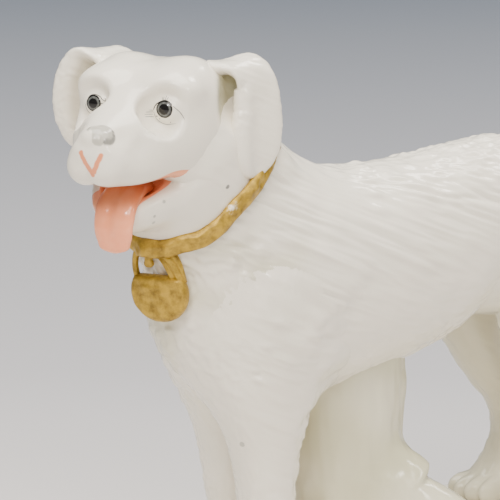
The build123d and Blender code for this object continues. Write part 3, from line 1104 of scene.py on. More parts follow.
@dataclass
class Tail:
    """The feathered tail, hanging from the rump."""

    path: tuple = (
        (0.0, 60, 97.2, 5.4, 5.2),
        (0.14, 68, 97.2, 5.4, 5.3),
        (0.26, 75, 94.5, 5.5, 5.6),
        (0.4, 81, 87.0, 5.5, 6.3),
        (0.56, 84.3, 74.0, 5.6, 6.9),
        (0.74, 85.0, 58.5, 5.2, 6.6),
        (0.9, 82.4, 42.5, 3.7, 4.6),
        (0.98, 80.0, 37.0, 2.0, 2.4),
        (1.0, 79.2, 35.6, 0.7, 0.8),
    )

    def build(self, body: Body) -> Skin:
        """Carries an oval along the tail's line, with long feather strokes, and flares it at the root.

        Args:
            body: The body that the tail hangs from.

        Returns:
            The skin.
        """
        at = np.linspace(0, 1, 120)
        table = along(self.path, at)
        line = np.stack([table[:, 0], 0 * at, table[:, 1]], -1)
        rows = carry(line, np.tile([0, 1.0, 0], (len(at), 1)), table[:, 2:], 96)
        outward = outward_of(rows)
        rows = flared(rows, body.form, 6.0, outward)
        cells = np.stack(
            [rows[..., 1] * 0.42, at[:, None] * 5.0 + 0 * rows[..., 0], rows[..., 0] * 0.28], -1
        )
        strokes = FUR(cells) * smooth(at, 0.12, 0.5)[:, None]
        return weave(rows + outward * (0.9 * strokes)[..., None])

    def dress(self, shop: Workshop, body: Body) -> None:
        """Puts the tail into the scene."""
        shop.piece("feathered_tail", self.build(body), Finish.GLAZE, ("tail",))


# Head


@dataclass(frozen=True)
class HeadFrame:
    """The head's own directions: f forward along the muzzle, l to the dog's left, h up."""

    origin: tuple = (-74.18, 0.0, 136.96)
    turn: float = 20.0

    def axes(self) -> Array:
        """Rows of the directions f, l and h."""
        c, s = math.cos(math.radians(self.turn)), math.sin(math.radians(self.turn))
        return np.array([[-c, -s, 0], [s, -c, 0], [0, 0, 1.0]])

    def out(self, local: Array) -> Array:
        """From (f, l, h) to the figure's frame."""
        return np.asarray(local, float) @ self.axes() + np.asarray(self.origin)

    def into(self, points: Array) -> Array:
        """From the figure's frame to (f, l, h)."""
        return (points - np.asarray(self.origin)) @ self.axes().T


HEAD = HeadFrame()


class Side(Enum):
    """Where a lump of the head sits: as placed, on both sides, or along the splayed flews."""

    ONE = "one"
    BOTH = "both"
    SPLAYED = "splayed"


@dataclass(frozen=True)
class Lump:
    """An ellipsoid that is melted on to the head, or carved out of it, over a reach."""

    centre: tuple
    radii: tuple
    reach: float
    side: Side = Side.BOTH
    hollow: bool = False


# The head's lumps and hollows in its own (f, l, h), in the order in which they are worked.
LUMPS = {
    "crown": Lump((-1.5, 8.4, 5.4), (9.5, 7.0, 6.3), 3.5),
    "brow": Lump((7.6, 9.0, 5.2), (6.4, 7.2, 4.6), 3.5),
    "cheekbone": Lump((12.5, 9.0, -7.4), (8.5, 5.0, 6.4), 4.0),
    "cheek": Lump((-1.0, 10.6, -9.5), (14.0, 6.2, 9.5), 5.0),
    "jowl": Lump((-10.0, 9.8, -11.5), (11.5, 6.4, 11.5), 6.0),
    "flew": Lump((22.0, 0.0, -11.6), (12.8, 4.0, 4.6), 3.0, Side.SPLAYED),
    "lip": Lump((30.6, 3.0, -10.8), (5.0, 3.9, 3.6), 2.5),
    "left_ear_web": Lump((-15.5, 17.0, 1.0), (5.0, 4.6, 9.0), 3.0, Side.ONE),
    "side_of_nose": Lump((33.0, 8.4, -1.2), (7.0, 4.2, 5.0), 2.0, hollow=True),
    "eye_socket": Lump((16.4, 10.6, 1.8), (5.4, 6.6, 6.8), 2.0, hollow=True),
    "ear_hollow": Lump((-8.5, 22.2, 0.5), (8.5, 6.4, 10.0), 3.0, hollow=True),
    "eyeball": Lump((9.7, 9.3, 0.9), (4.1, 5.2, 4.3), 0.8),
    "nose": Lump((32.2, 0.4, -4.2), (3.5, 4.1, 3.5), 1.0, Side.ONE),
    "roof_of_mouth": Lump((19.0, 0.0, -20.0), (15.0, 7.4, 6.6), 1.2, Side.ONE, True),
}

# Middles and radii of the worn nose and of the painted shade in the hollow by each ear, grey green like
# pooled glaze.
WORN_NOSE = ((31.8, 1.5, -3.6), (3.7, 3.4, 3.8))
EAR_SHADE = ((-10.0, 18.0, 0.5), (8.5, 6.4, 10.0))

# The flews lie this far aside at one place along the muzzle, and close in ahead of it by a slope.
FLEW_ASIDE = 9.4
FLEW_AT = 12.0
FLEW_SLOPE = 0.31


def mirrored(local: Array) -> Array:
    """Folds the head's points over to its left, so that one lump shapes both sides."""
    return np.stack([local[..., 0], np.abs(local[..., 1]), local[..., 2]], -1)


@dataclass
class Head:
    """The hollow cast of skull, muzzle and upper neck, with its painted mouth and worn nose."""

    skull: Loft = Loft(
        (0, 0, 0),
        (1, 0, 0),
        (0, 0, 1),
        (
            (-22, -2.0, 16.0, 10.0, 14.5),
            (-10.1, -0.3, 17.0, 10.2, 14.5),
            (0, 0, 17.2, 11.0, 15.0),
            (7.8, -0.6, 16.0, 10.6, 14.8),
            (13.5, -2.6, 13.6, 9.4, 13.0),
            (19, -5.4, 10.6, 8.8, 10.4),
            (24, -6.6, 8.4, 8.0, 8.8),
            (30, -7.4, 6.8, 6.6, 7.2),
            (36.3, -8.0, 6.2, 5.2, 6.2),
        ),
        (10.0, 5.0),
        2.3,
    )
    neck_melt: float = 10.0
    nape_gap: float = 8.4
    tilts: tuple = (-88, 88.5)
    rows: int = 230
    columns: int = 300
    reach: float = 34.0
    nape_runs: tuple = (24, 38)
    nape_rows: int = 28
    nape_cap_rows: int = 30
    nape_columns: int = 200
    nape_top: float = 15.0
    nape_reach: float = 12.0

    def local_form(self, p: Array) -> Array:
        """Skull and muzzle with the lumps melted on and the hollows carved, in their order.

        The flews are ellipsoids in a space sheared so that they splay apart towards the cheeks.

        Args:
            p: Places in the head's (f, l, h).

        Returns:
            The field.
        """
        both = mirrored(p)
        splay = FLEW_ASIDE - FLEW_SLOPE * (p[..., :1] - FLEW_AT)
        spaces = {Side.ONE: p, Side.BOTH: both, Side.SPLAYED: both - splay * np.array([0, 1, 0])}
        value = self.skull(p)
        for lump in LUMPS.values():
            work = carve if lump.hollow else melt
            value = work(value, ellipsoid(spaces[lump.side], lump.centre, lump.radii), lump.reach)
        return value

    def form(self, points: Array) -> Array:
        """The head's field in the figure's frame."""
        return self.local_form(HEAD.into(points))

    def throat(self, body: Body, points: Array) -> Array:
        """Upper neck and head, melted together."""
        return melt(body.neck(points), self.form(points), self.neck_melt)

    def cast_skull(self) -> Skin:
        """Casts rows that lean from the nape round to the nose as their starts move forward.

        Returns:
            The painted skull, with a coat behind the brows.
        """
        tilts = np.linspace(*self.tilts, self.rows)
        start = along(SWEEP, tilts)
        axes = HEAD.axes()
        rays = Rays(
            HEAD.out(np.stack([start[:, 0], 0 * tilts, start[:, 1]], -1)),
            np.tile(axes[0], (len(tilts), 1)),
            np.tile(axes[2], (len(tilts), 1)),
            np.radians(tilts),
            self.columns,
        )
        skull = rays.cast(self.form, self.reach)
        coat = 0.5 * fur(skull) * smooth(-HEAD.into(skull)[..., 0], 0.0, 9.0)
        skin = weave(skull + slope_of(self.form, skull) * coat[..., None])
        self.paint(skin)
        return skin

    def cast_nape(self, body: Body) -> Skin:
        """Casts ranks up the upper neck and a cap inside the skull, flared into the skull.

        Args:
            body: The body whose neck it is.

        Returns:
            The skin, with its coat in relief.
        """

        def flare(points: Array) -> Array:
            """The neck, flared into the sunk skull."""
            own = body.neck(points)
            return melt(own, sunk(self.form(points), own, self.nape_gap), self.neck_melt)

        axis, throat = np.array(body.neck.axis), np.array(body.neck.rise)
        runs = np.linspace(*self.nape_runs, self.nape_rows)
        starts = np.array(body.neck.origin) + axis * runs[:, None]
        ranks = rank(starts, axis, throat, self.nape_columns)
        tilts = np.radians(np.linspace(3, 86, self.nape_cap_rows))
        cap = fan(starts[-1], axis, throat, tilts, self.nape_columns)
        sides = along(body.neck.stations, runs)[:, 2]
        width = np.concatenate([sides, np.full(self.nape_cap_rows, self.nape_top)])
        grid = stacked(ranks, cap).cast(flare, (width + self.nape_reach)[:, None])
        skin = weave(grid + slope_of(flare, grid) * (0.5 * fur(grid))[..., None])
        skin.paint["fleck"] = specks(skin.points, NAPE_SPECK)
        return skin

    def build(self, body: Body) -> Skin:
        """Joins the skull and the upper neck in one skin."""
        return joined(self.cast_skull(), self.cast_nape(body))

    def paint(self, skin: Skin) -> None:
        """Paints the lip, the mouth's roof deepened by painted shade, the nose's two strokes, the worn nose
        and painted shade in the ears' hollows.

        Args:
            skin: The skull's skin, which gets the values.
        """
        local = HEAD.into(skin.points)
        strokes = nose_strokes(local)
        # Painted shade: the coral deepens low under the muzzle, on the mouth's roof.
        roof_shade = smooth(-local[:, 2], 14.6, 17.0)
        patch = ellipsoid(local, *WORN_NOSE)
        rim = 0.26 - np.abs(patch + 0.5 * GRIT(skin.points / 4.0))
        shade = ellipsoid(mirrored(local), *EAR_SHADE)
        skin.paint["coral"] = np.maximum(mouth_paint(local), strokes)
        # The deeper coral is painted shade on the mouth's roof and a deeper tone on the nose strokes.
        skin.paint["depth"] = np.maximum(roof_shade, 0.5 * smooth(strokes, -0.3, 0.3))
        skin.paint["worn"] = -patch + 1.1 * GRIT(skin.points / 1.7)
        aside = np.abs(local[:, 1] - WORN_NOSE[0][1])
        skin.paint["fleck"] = rim - 0.8 * (1 - smooth(aside, 1.4, 2.6))
        # Painted shade, grey green like pooled glaze, in the hollow by each ear.
        skin.paint["pool"] = smooth(-shade, -2.0, 2.5)

    def dress(self, shop: Workshop, body: Body) -> None:
        """Puts the head into the scene."""
        shop.piece("skull_and_muzzle", self.build(body), Finish.GLAZE, ("head_shell",))


# Tilts of the skull's rows in degrees, each with the f and h of its start.
SWEEP = (
    (-90, -9.0, 0.0),
    (-30, -7.0, 0.0),
    (0, -4.0, -0.5),
    (30, 1.0, -1.5),
    (45, 5.0, -3.0),
    (60, 12.0, -6.0),
    (75, 20.0, -8.0),
    (90, 26.0, -8.6),
)
# Edges of the upper and the lower lip, in f and h, and the f of the mouth's corner.
LIP = (
    (7.0, -14.6),
    (8.2, -14.3),
    (14.7, -14.0),
    (18.2, -15.5),
    (23.4, -16.0),
    (28.6, -16.2),
    (31.9, -16.0),
    (34.5, -15.8),
    (37.0, -15.8),
)
LOWER_LIP = ((7.0, -16.2), (12.0, -16.8), (17.6, -18.6), (20.0, -20.4), (22.0, -23.0), (24.0, -27.0))
MOUTH_CORNER = 7.6

# Ends of the two strokes that meet under the nose, where f counts by a share only.
NOSE_STROKES = (((10.7, -1.6, -6.6), (10.8, 1.6, -11.8)), ((10.7, 3.6, -7.0), (10.8, 2.0, -11.0)))
STROKE_SHARE = 0.3


def segment_distance(points: Array, start: tuple, end: tuple) -> Array:
    """Distance from points to a straight stroke: from the point to its nearest place between the ends.

    Args:
        points: The points.
        start: One end of the stroke.
        end: The other end.

    Returns:
        The distances.
    """
    start, run = np.asarray(start, float), np.asarray(end, float) - np.asarray(start, float)
    share = np.clip(((points - start) @ run) / (run @ run), 0, 1)
    return np.linalg.norm(points - start - share[..., None] * run, axis=-1)


def mouth_paint(local: Array) -> Array:
    """Signed distance into the mouth's enamel: below the upper lip's edge and ahead of the corner."""
    edge = along(LIP, local[..., 0])[..., 0] - local[..., 2]
    return np.minimum(edge, local[..., 0] - MOUTH_CORNER)


def nose_strokes(local: Array) -> Array:
    """Signed distance into the two strokes under the nose, whose width a noise makes uneven.

    Args:
        local: Places in the head's (f, l, h).

    Returns:
        The distance, above zero inside a stroke.
    """
    flat = local * np.array([STROKE_SHARE, 1, 1])
    width = 0.62 + 0.25 * GRIT(local / 1.1)
    return np.maximum.reduce([width - segment_distance(flat, a, b) for a, b in NOSE_STROKES])


@dataclass
class Jaw:
    """The hanging lower jaw, its white lip and the coral floor of the mouth."""

    start: tuple = (-4.0, 0.0, -16.5)
    drop: float = 17.0
    stations: tuple = (
        (0, 0, 15.8, 4.0, 14.0),
        (8, 0, 14.0, 3.8, 12.6),
        (18, 0, 10.4, 3.2, 9.0),
        (24, 0, 7.4, 2.6, 6.6),
        (28, 0, 5.8, 2.2, 5.2),
    )
    trough_at: tuple = (17, 3.4)
    trough: tuple = (13.0, 7.0, 3.4)
    gape: float = 9.0
    fold: float = 7.0
    flare_gap: float = 6.0
    sink: float = 2.4
    reach: float = 24.0
    columns: int = 200

    def directions(self) -> tuple[Array, Array]:
        """The jaw's run and its up direction, in the head's (f, l, h)."""
        c, s = math.cos(math.radians(self.drop)), math.sin(math.radians(self.drop))
        return np.array([c, 0, -s]), np.array([s, 0, c])

    def local_form(self, p: Array) -> Array:
        """The jaw's sections with the trough of the mouth carved out.

        Args:
            p: Places in the head's (f, l, h).

        Returns:
            The field.
        """
        run, up = self.directions()
        bone = Loft(self.start, tuple(run), tuple(up), self.stations, (0.0, 6.0), 2.3)(p)
        floor = np.asarray(self.start) + run * self.trough_at[0] + up * self.trough_at[1]
        return carve(bone, ellipsoid(p, floor, self.trough), 1.6)

    def form(self, points: Array) -> Array:
        """The jaw's field in the figure's frame."""
        return self.local_form(HEAD.into(points))

    def build(self, head: Head, body: Body) -> Skin:
        """Casts ranks along the jaw, with caps behind and at the chin, flared into cheek and throat.

        Ahead of the mouth's corner the upper lip is held off, so the mouth stays open.

        Args:
            head: The head that the jaw hangs from.
            body: The body whose neck it runs into.

        Returns:
            The painted skin.
        """

        def flare(points: Array) -> Array:
            """The jaw, flared into neck and head, which are sunk past the flare.

            Args:
                points: Places in the figure's frame.

            Returns:
                The field.
            """
            own = self.form(points)
            local = HEAD.into(points)
            open_mouth = self.gape * smooth(local[..., 0], 6.0, 13.0) * smooth(local[..., 2], -24, -19)
            ground = melt(body.neck(points), head.form(points) + open_mouth, self.fold)
            return melt(own, sunk(ground, own, self.flare_gap), self.fold)

        axes = HEAD.axes()
        run, up = (v @ axes for v in self.directions())
        runs = np.linspace(1, 21, 46)
        starts = HEAD.out(self.start) + run * runs[:, None] - up * self.sink
        ranks = rank(starts, run, up, self.columns)
        back = fan(starts[0], run, up, np.radians(np.linspace(-86, -3, 24)), self.columns)
        chin = fan(starts[-1], run, up, np.radians(np.linspace(3, 87, 44)), self.columns)
        skin = weave(stacked(back, ranks, chin).cast(flare, self.reach))
        self.paint(skin)
        return skin

    def paint(self, skin: Skin) -> None:
        """Paints the mouth's floor, deepened by painted shade, the band under the upper lip, the far rim and
        the kiln specks.

        Args:
            skin: The jaw's skin, which gets the values.
        """
        local = HEAD.into(skin.points)
        run, up = self.directions()
        offset = local - np.asarray(self.start)
        half = along(self.stations, offset @ run)[:, 1]
        trough = np.minimum(half * 0.76 - np.abs(local[:, 1]), offset @ up + 0.5)
        above_lip = local[:, 2] - along(LOWER_LIP, local[:, 0])[:, 0]
        band = np.minimum(mouth_paint(local), above_lip)
        far_rim = np.minimum.reduce([-local[:, 1] - 2.0, above_lip + 5.0, local[:, 0] - 15.0])
        skin.paint["coral"] = np.maximum.reduce([trough, band, far_rim])
        # Painted shade: the coral deepens down into the mouth's floor.
        skin.paint["depth"] = smooth(trough, 0.0, 2.4)
        skin.paint["worn"] = specks(skin.points, *JAW_SPECKS)

    def dress(self, shop: Workshop, head: Head, body: Body) -> None:
        """Puts the jaw into the scene."""
        shop.piece("hanging_jaw", self.build(head, body), Finish.GLAZE, ("lower_jaw",))


@dataclass
class Tongue:
    """The tongue, out over the lower lip."""

    path: tuple = (
        (0.0, 6.0, -19.6, 4.2, 1.6),
        (0.16, 11.0, -19.2, 5.0, 1.8),
        (0.36, 17.0, -20.0, 5.4, 1.9),
        (0.52, 21.4, -22.4, 5.4, 1.9),
        (0.68, 23.2, -26.6, 5.2, 1.8),
        (0.85, 23.0, -30.6, 4.5, 1.6),
        (0.96, 22.7, -32.9, 3.0, 1.2),
        (1.0, 22.6, -33.5, 1.0, 0.6),
    )
    facing: tuple = (0.6, 0, 0.8)
    columns: int = 96

    def build(self) -> Skin:
        """Carries a flat oval along the tongue's line and presses a groove, a bell curve, down its middle.

        Returns:
            The skin, with painted shade deepening its colour towards the throat.
        """
        at = np.linspace(0, 1, 90)
        table = along(self.path, at)
        line = np.stack([table[:, 0], 0.7 * smooth(at, 0.2, 0.6), table[:, 1]], -1)
        rows = carry(line, np.tile([0, 1.0, 0], (len(at), 1)), table[:, 2:], self.columns, 2.4)
        outward = outward_of(rows)
        groove = np.exp(-((rows[..., 1] / 1.3) ** 2)) * smooth(1 - at, 0.06, 0.3)[:, None]
        upper = smooth(np.einsum("uvk,k->uv", outward, self.facing), 0, 0.6)
        skin = weave(HEAD.out(rows - outward * (0.5 * groove * upper)[..., None]))
        # Painted shade: deeper coral towards the throat, inside the mouth.
        depth = np.repeat(smooth(0.66 - at, 0.0, 0.2), self.columns)
        skin.paint["depth"] = np.concatenate([depth, [1.0, 0.0]])
        return skin

    def dress(self, shop: Workshop) -> None:
        """Puts the tongue into the scene."""
        shop.piece("lolling_tongue", self.build(), Finish.ENAMEL, ("tongue",))


@dataclass
class Ear:
    """A folded ear flap: rows of (place, f, l, h, half width, half thickness), and the flap's turn."""

    name: str
    node: str
    path: tuple
    swing: float
    side: float

    def build(self, head: Head) -> Skin:
        """Carries a thin oval down the flap, dishes its inner face and flares its root into the skull.

        Rims and dish are bell curves across the flap, which fade towards its root and its tip.

        Args:
            head: The head that the ear hangs from.

        Returns:
            The skin, with its coat in relief.
        """
        at = np.linspace(0, 1, 130)
        table = along(self.path, at)
        angle = math.radians(self.swing)
        width = np.array([math.cos(angle), self.side * math.sin(angle), 0.0])
        rows = carry(table[:, :3], np.tile(width, (len(at), 1)), table[:, 3:], 130, 2.2)
        outward = outward_of(rows)
        span = np.einsum("uvk,k->uv", rows - table[:, None, :3], width) / table[:, None, 3]
        rim = np.exp(-(((span - 0.72) / 0.26) ** 2)) + 0.6 * np.exp(-(((span + 0.78) / 0.26) ** 2))
        dish = np.exp(-(((span - 0.05) / 0.42) ** 2))
        body = (smooth(at, 0.3, 0.5) * (1 - smooth(at, 0.86, 1.0)))[:, None]
        rows = rows + outward * ((0.7 * rim - 0.7 * dish) * body)[..., None]
        rows = HEAD.out(rows)
        outward = outward @ HEAD.axes()
        rows = flared(rows, head.form, 2.6, outward)
        rows = rows + outward * (0.4 * fur(rows * 1.3))[..., None]
        return weave(rows)

    def dress(self, shop: Workshop, head: Head) -> None:
        """Puts the ear into the scene."""
        shop.piece(self.name, self.build(head), Finish.GLAZE, (self.node,))


LEFT_EAR = (
    (0.0, -8.5, 7.0, 6.0, 4.5, 1.6),
    (0.14, -10.0, 13.0, 8.4, 5.4, 1.7),
    (0.27, -12.0, 18.0, 8.2, 6.4, 2.0),
    (0.38, -13.6, 20.6, 5.4, 6.8, 2.2),
    (0.52, -13.6, 21.9, -1.6, 7.6, 2.3),
    (0.67, -12.4, 22.3, -8.4, 8.0, 2.2),
    (0.82, -12.0, 22.4, -14.2, 6.8, 1.9),
    (0.94, -12.8, 22.2, -17.4, 4.2, 1.5),
    (1.0, -13.4, 22.0, -19.0, 1.4, 0.9),
)
RIGHT_EAR = (
    (0.0, -8.0, -7.0, 6.0, 5.0, 1.6),
    (0.14, -7.6, -12.4, 8.2, 6.0, 1.8),
    (0.26, -6.9, -17.2, 9.4, 7.0, 2.1),
    (0.36, -6.2, -20.2, 8.4, 7.6, 2.4),
    (0.47, -5.4, -21.8, 4.4, 8.2, 2.5),
    (0.62, -4.6, -22.2, -1.4, 8.4, 2.4),
    (0.82, -4.2, -21.6, -8.2, 7.0, 2.1),
    (0.94, -4.0, -20.8, -12.4, 4.4, 1.7),
    (1.0, -4.0, -20.4, -14.4, 1.4, 0.9),
)


def settle(points: Array, way: Array, form: Form) -> Array:
    """Moves points along one direction on to a form, by steps of field over slope.

    Args:
        points: The points.
        way: The direction.
        form: The form's field.

    Returns:
        The points on the form.
    """
    for _ in range(6):
        points = points - way * (form(points) / np.maximum(slope_of(form, points) @ way, 0.4))[..., None]
    return points


@dataclass
class Eye:
    """One painted eye: a low lens of enamel on the modelled eyeball."""

    name: str
    place: tuple
    radius: float
    pupil: float
    strokes: tuple
    rings: int = 26
    under_rings: int = 8
    columns: int = 64

    def axes(self, head: Head) -> tuple[Array, Array, Array, Array]:
        """Finds how the eye lies on the head.

        Args:
            head: The head that it is painted on.

        Returns:
            Its middle, and its outward, across and upward directions.
        """
        centre = HEAD.out(self.place)
        normal = slope_of(head.form, centre[None])[0]
        return (centre, normal, *level(normal))

    def build(self, head: Head) -> Skin:
        """Casts a polar grid of the iris on to the eyeball and gives it a lens of 0.12 mm.

        Args:
            head: The head that it is painted on.

        Returns:
            The skin, closed underneath, with the iris painted as a ring.
        """
        centre, normal, across, above = self.axes(head)
        shares = np.concatenate([np.linspace(0.03, 1, self.rings), np.linspace(1, 0.05, self.under_rings)])
        under = np.concatenate([np.zeros(self.rings), np.ones(self.under_rings)])
        turn = np.arange(self.columns) * TURN / self.columns
        disc = self.radius * shares[:, None, None] * (
            np.cos(turn)[None, :, None] * across + np.sin(turn)[None, :, None] * above
        )
        points = settle(centre + disc, normal, head.form)
        lens = np.where(under > 0, -0.2, 0.03 + 0.12 * (1 - shares**2))
        skin = weave(points + normal * lens[:, None, None])
        ring = smooth(shares, self.pupil - 0.05, self.pupil + 0.05) * (1 - smooth(shares, 0.78, 0.88))
        iris = np.repeat(ring * (1 - under), self.columns)
        skin.paint["iris"] = np.concatenate([iris, [0.0, 0.0]])
        return skin

    def stroke(self, head: Head, thin: float, half: float, places: tuple) -> Skin:
        """Lays one brush stroke of enamel on the glaze round the eye.

        Args:
            head: The head that it lies on.
            thin: How thin the enamel is, from black at 0 to pale grey at 1.
            half: Half the stroke's width in millimetres.
            places: Points of the stroke from the eye's middle, aside and up in millimetres.

        Returns:
            The stroke, tapered at both ends.
        """
        centre, normal, across, above = self.axes(head)
        at = np.linspace(0, 1, 30)
        table = np.column_stack([np.linspace(0, 1, len(places)), np.asarray(places, float)])
        flat = along(table, at)
        line = settle(centre + flat[:, :1] * across + flat[:, 1:] * above, normal, head.form)
        taper = np.sqrt(np.clip(1 - np.abs(2 * at - 1) ** 3, 0.02, 1))
        run = np.gradient(line, axis=0)
        rows = carry(line, np.cross(normal, run), np.column_stack([half * taper, 0.07 * taper]), 10)
        skin = weave(rows + normal * 0.03)
        skin.paint["iris"] = np.full(len(skin.points), thin * 2.0)
        return skin

    def dress(self, shop: Workshop, head: Head) -> None:
        """Puts the eye and the strokes about it into the scene.

        Args:
            shop: The workshop that makes the pieces.
            head: The head that they are painted on.
        """
        shop.piece(self.name, self.build(head), Finish.INK)
        strokes = joined(*(self.stroke(head, *stroke) for stroke in self.strokes))
        shop.piece(self.name + "_strokes", strokes, Finish.INK)


# Strokes about an eye: thinness, half width, and places aside and up from the eye's middle.
LEFT_STROKES = (
    (0.1, 0.17, ((-3.1, -0.5), (-2.6, 0.6), (-1.75, 1.45), (0.0, 2.15), (1.5, 1.6), (1.9, 1.1))),
    (0.55, 0.09, ((2.1, 1.0), (3.6, -0.35), (4.8, -2.4))),
    (0.45, 0.07, ((-4.85, -1.0), (-3.1, -0.9))),
    (0.5, 0.06, ((-5.0, -1.55), (-3.1, -1.45))),
    (0.45, 0.07, ((-4.85, -2.1), (-2.9, -2.1))),
    (0.55, 0.06, ((-4.3, -0.5), (-3.1, -0.5))),
    (0.2, 0.18, ((-2.2, -1.8), (-1.95, -1.9))),
    (0.3, 0.14, ((-1.45, -2.4), (-1.25, -2.45))),
    (0.35, 0.14, ((1.2, -3.15), (1.4, -3.2))),
    (0.66, 0.07, ((-3.0, -0.8), (-2.1, -2.8), (0.0, -3.75), (2.8, -3.4))),
    (0.6, 0.06, ((-0.9, 2.9), (-0.7, 2.2))),
    (0.55, 0.06, ((-0.5, 3.05), (-0.4, 2.25))),
    (0.6, 0.06, ((0.05, 3.3), (0.05, 2.3))),
    (0.6, 0.06, ((0.6, 3.05), (0.5, 2.25))),
)
RIGHT_STROKES = (
    (0.3, 0.12, ((-1.7, 1.2), (-1.0, 1.9), (0.3, 2.15), (1.6, 1.75), (2.4, 1.0))),
    (0.3, 0.1, ((1.4, 0.3), (3.0, -0.1), (5.2, -1.4))),
    (0.35, 0.09, ((1.9, 1.35), (3.8, 0.2))),
    (0.4, 0.08, ((2.8, 1.6), (3.2, 0.4))),
    (0.5, 0.07, ((3.4, 0.9), (4.7, 1.4))),
    (0.55, 0.07, ((3.0, 0.0), (4.4, 0.5))),
    (0.66, 0.07, ((-2.6, -0.2), (-1.7, -2.3), (0.2, -3.0), (2.2, -2.4))),
)


# Collar and padlock


@dataclass
class Collar:
    """The gilt strap, crumpled as if tied, over the seam of head and neck."""

    centre: tuple = (-59.28, 0.0, 114.45)
    half_width: float = 2.5
    stand: float = 1.3
    sag: float = 2.6
    sag_at: float = 48.0
    knot: tuple = (-79.2, -2.5, 101.0)
    knot_radii: tuple = (4.0, 4.6, 3.6)
    worn_at: tuple = (-63.8, -17.4, 111.4)
    crease_mm: float = 2.6
    turns: int = 260

    def build(self, body: Body, head: Head) -> Skin:
        """Casts a band of rays round the neck and lifts it into a creased strap.

        Over the band the lift follows a fourth-power arch, and noise moves its edges and creases it. The
        knot and the sag below it are bell curves.

        Args:
            body: The body whose neck wears the strap.
            head: The head above the seam.

        Returns:
            The skin, bare of gilding at its wear.
        """
        axis, throat = np.array(body.neck.axis), np.array(body.neck.rise)
        turn = np.arange(self.turns) * TURN / self.turns
        ring = np.stack([np.cos(turn), np.sin(turn), 0 * turn], -1)
        edge = 0.9 * DRIFT(ring * 3.6 + 7.0)
        across = np.concatenate([np.linspace(-1, 1, 25), np.linspace(1, -1, 9)[1:-1]])
        inside = np.concatenate([np.zeros(25), np.ones(7)])
        off_sag = np.angle(np.exp(1j * (turn + math.radians(self.sag_at))))
        sag = self.sag * np.exp(-((off_sag / 0.62) ** 2))
        run = across[:, None] * (self.half_width + edge[None] * across[:, None])
        run = run + (0.9 * DRIFT(ring * 1.7) - sag)[None]
        side = np.cross(throat, axis)
        ways = np.cos(turn)[:, None] * throat + np.sin(turn)[:, None] * side
        starts = np.asarray(self.centre) + axis * run[..., None]

        def form(points: Array) -> Array:
            """The neck, with the head's seam melted into it."""
            return melt(body.form(points), head.throat(body, points), 3.0)

        low, high = np.full(run.shape, 6.0), np.full(run.shape, 40.0)
        for _ in range(18):
            reach = (low + high) / 2
            hit = form(starts + ways[None] * reach[..., None]) < 0
            low, high = np.where(hit, reach, low), np.where(hit, high, reach)
        arch = self.stand * (1 - np.abs(across) ** 4)[:, None]
        places = starts + ways[None] * reach[..., None]
        crease = 1.3 * FUR(places / self.crease_mm) * (1 - across**2)[:, None]
        near = np.linalg.norm((places - np.array(self.knot)) / np.array(self.knot_radii), axis=-1)
        knot = 1.5 * np.exp(-(near**2)) * (1 + 0.5 * GRIT(places / 2.2))
        lift = np.where(inside[:, None] > 0, -0.7, arch + crease + knot - 0.15)
        rows = starts + ways[None] * (reach + lift)[..., None]
        skin = weave(np.moveaxis(rows, 1, 0), ring=True)
        worn = -np.linalg.norm(skin.points - np.array(self.worn_at), axis=-1) / 6.0
        skin.paint["bare"] = np.clip(worn + 0.36, -1, 1)
        return skin

    def dress(self, shop: Workshop, body: Body, head: Head) -> None:
        """Puts the collar into the scene."""
        shop.piece("gilt_strap", self.build(body, head), Finish.GILDING, ("collar",))


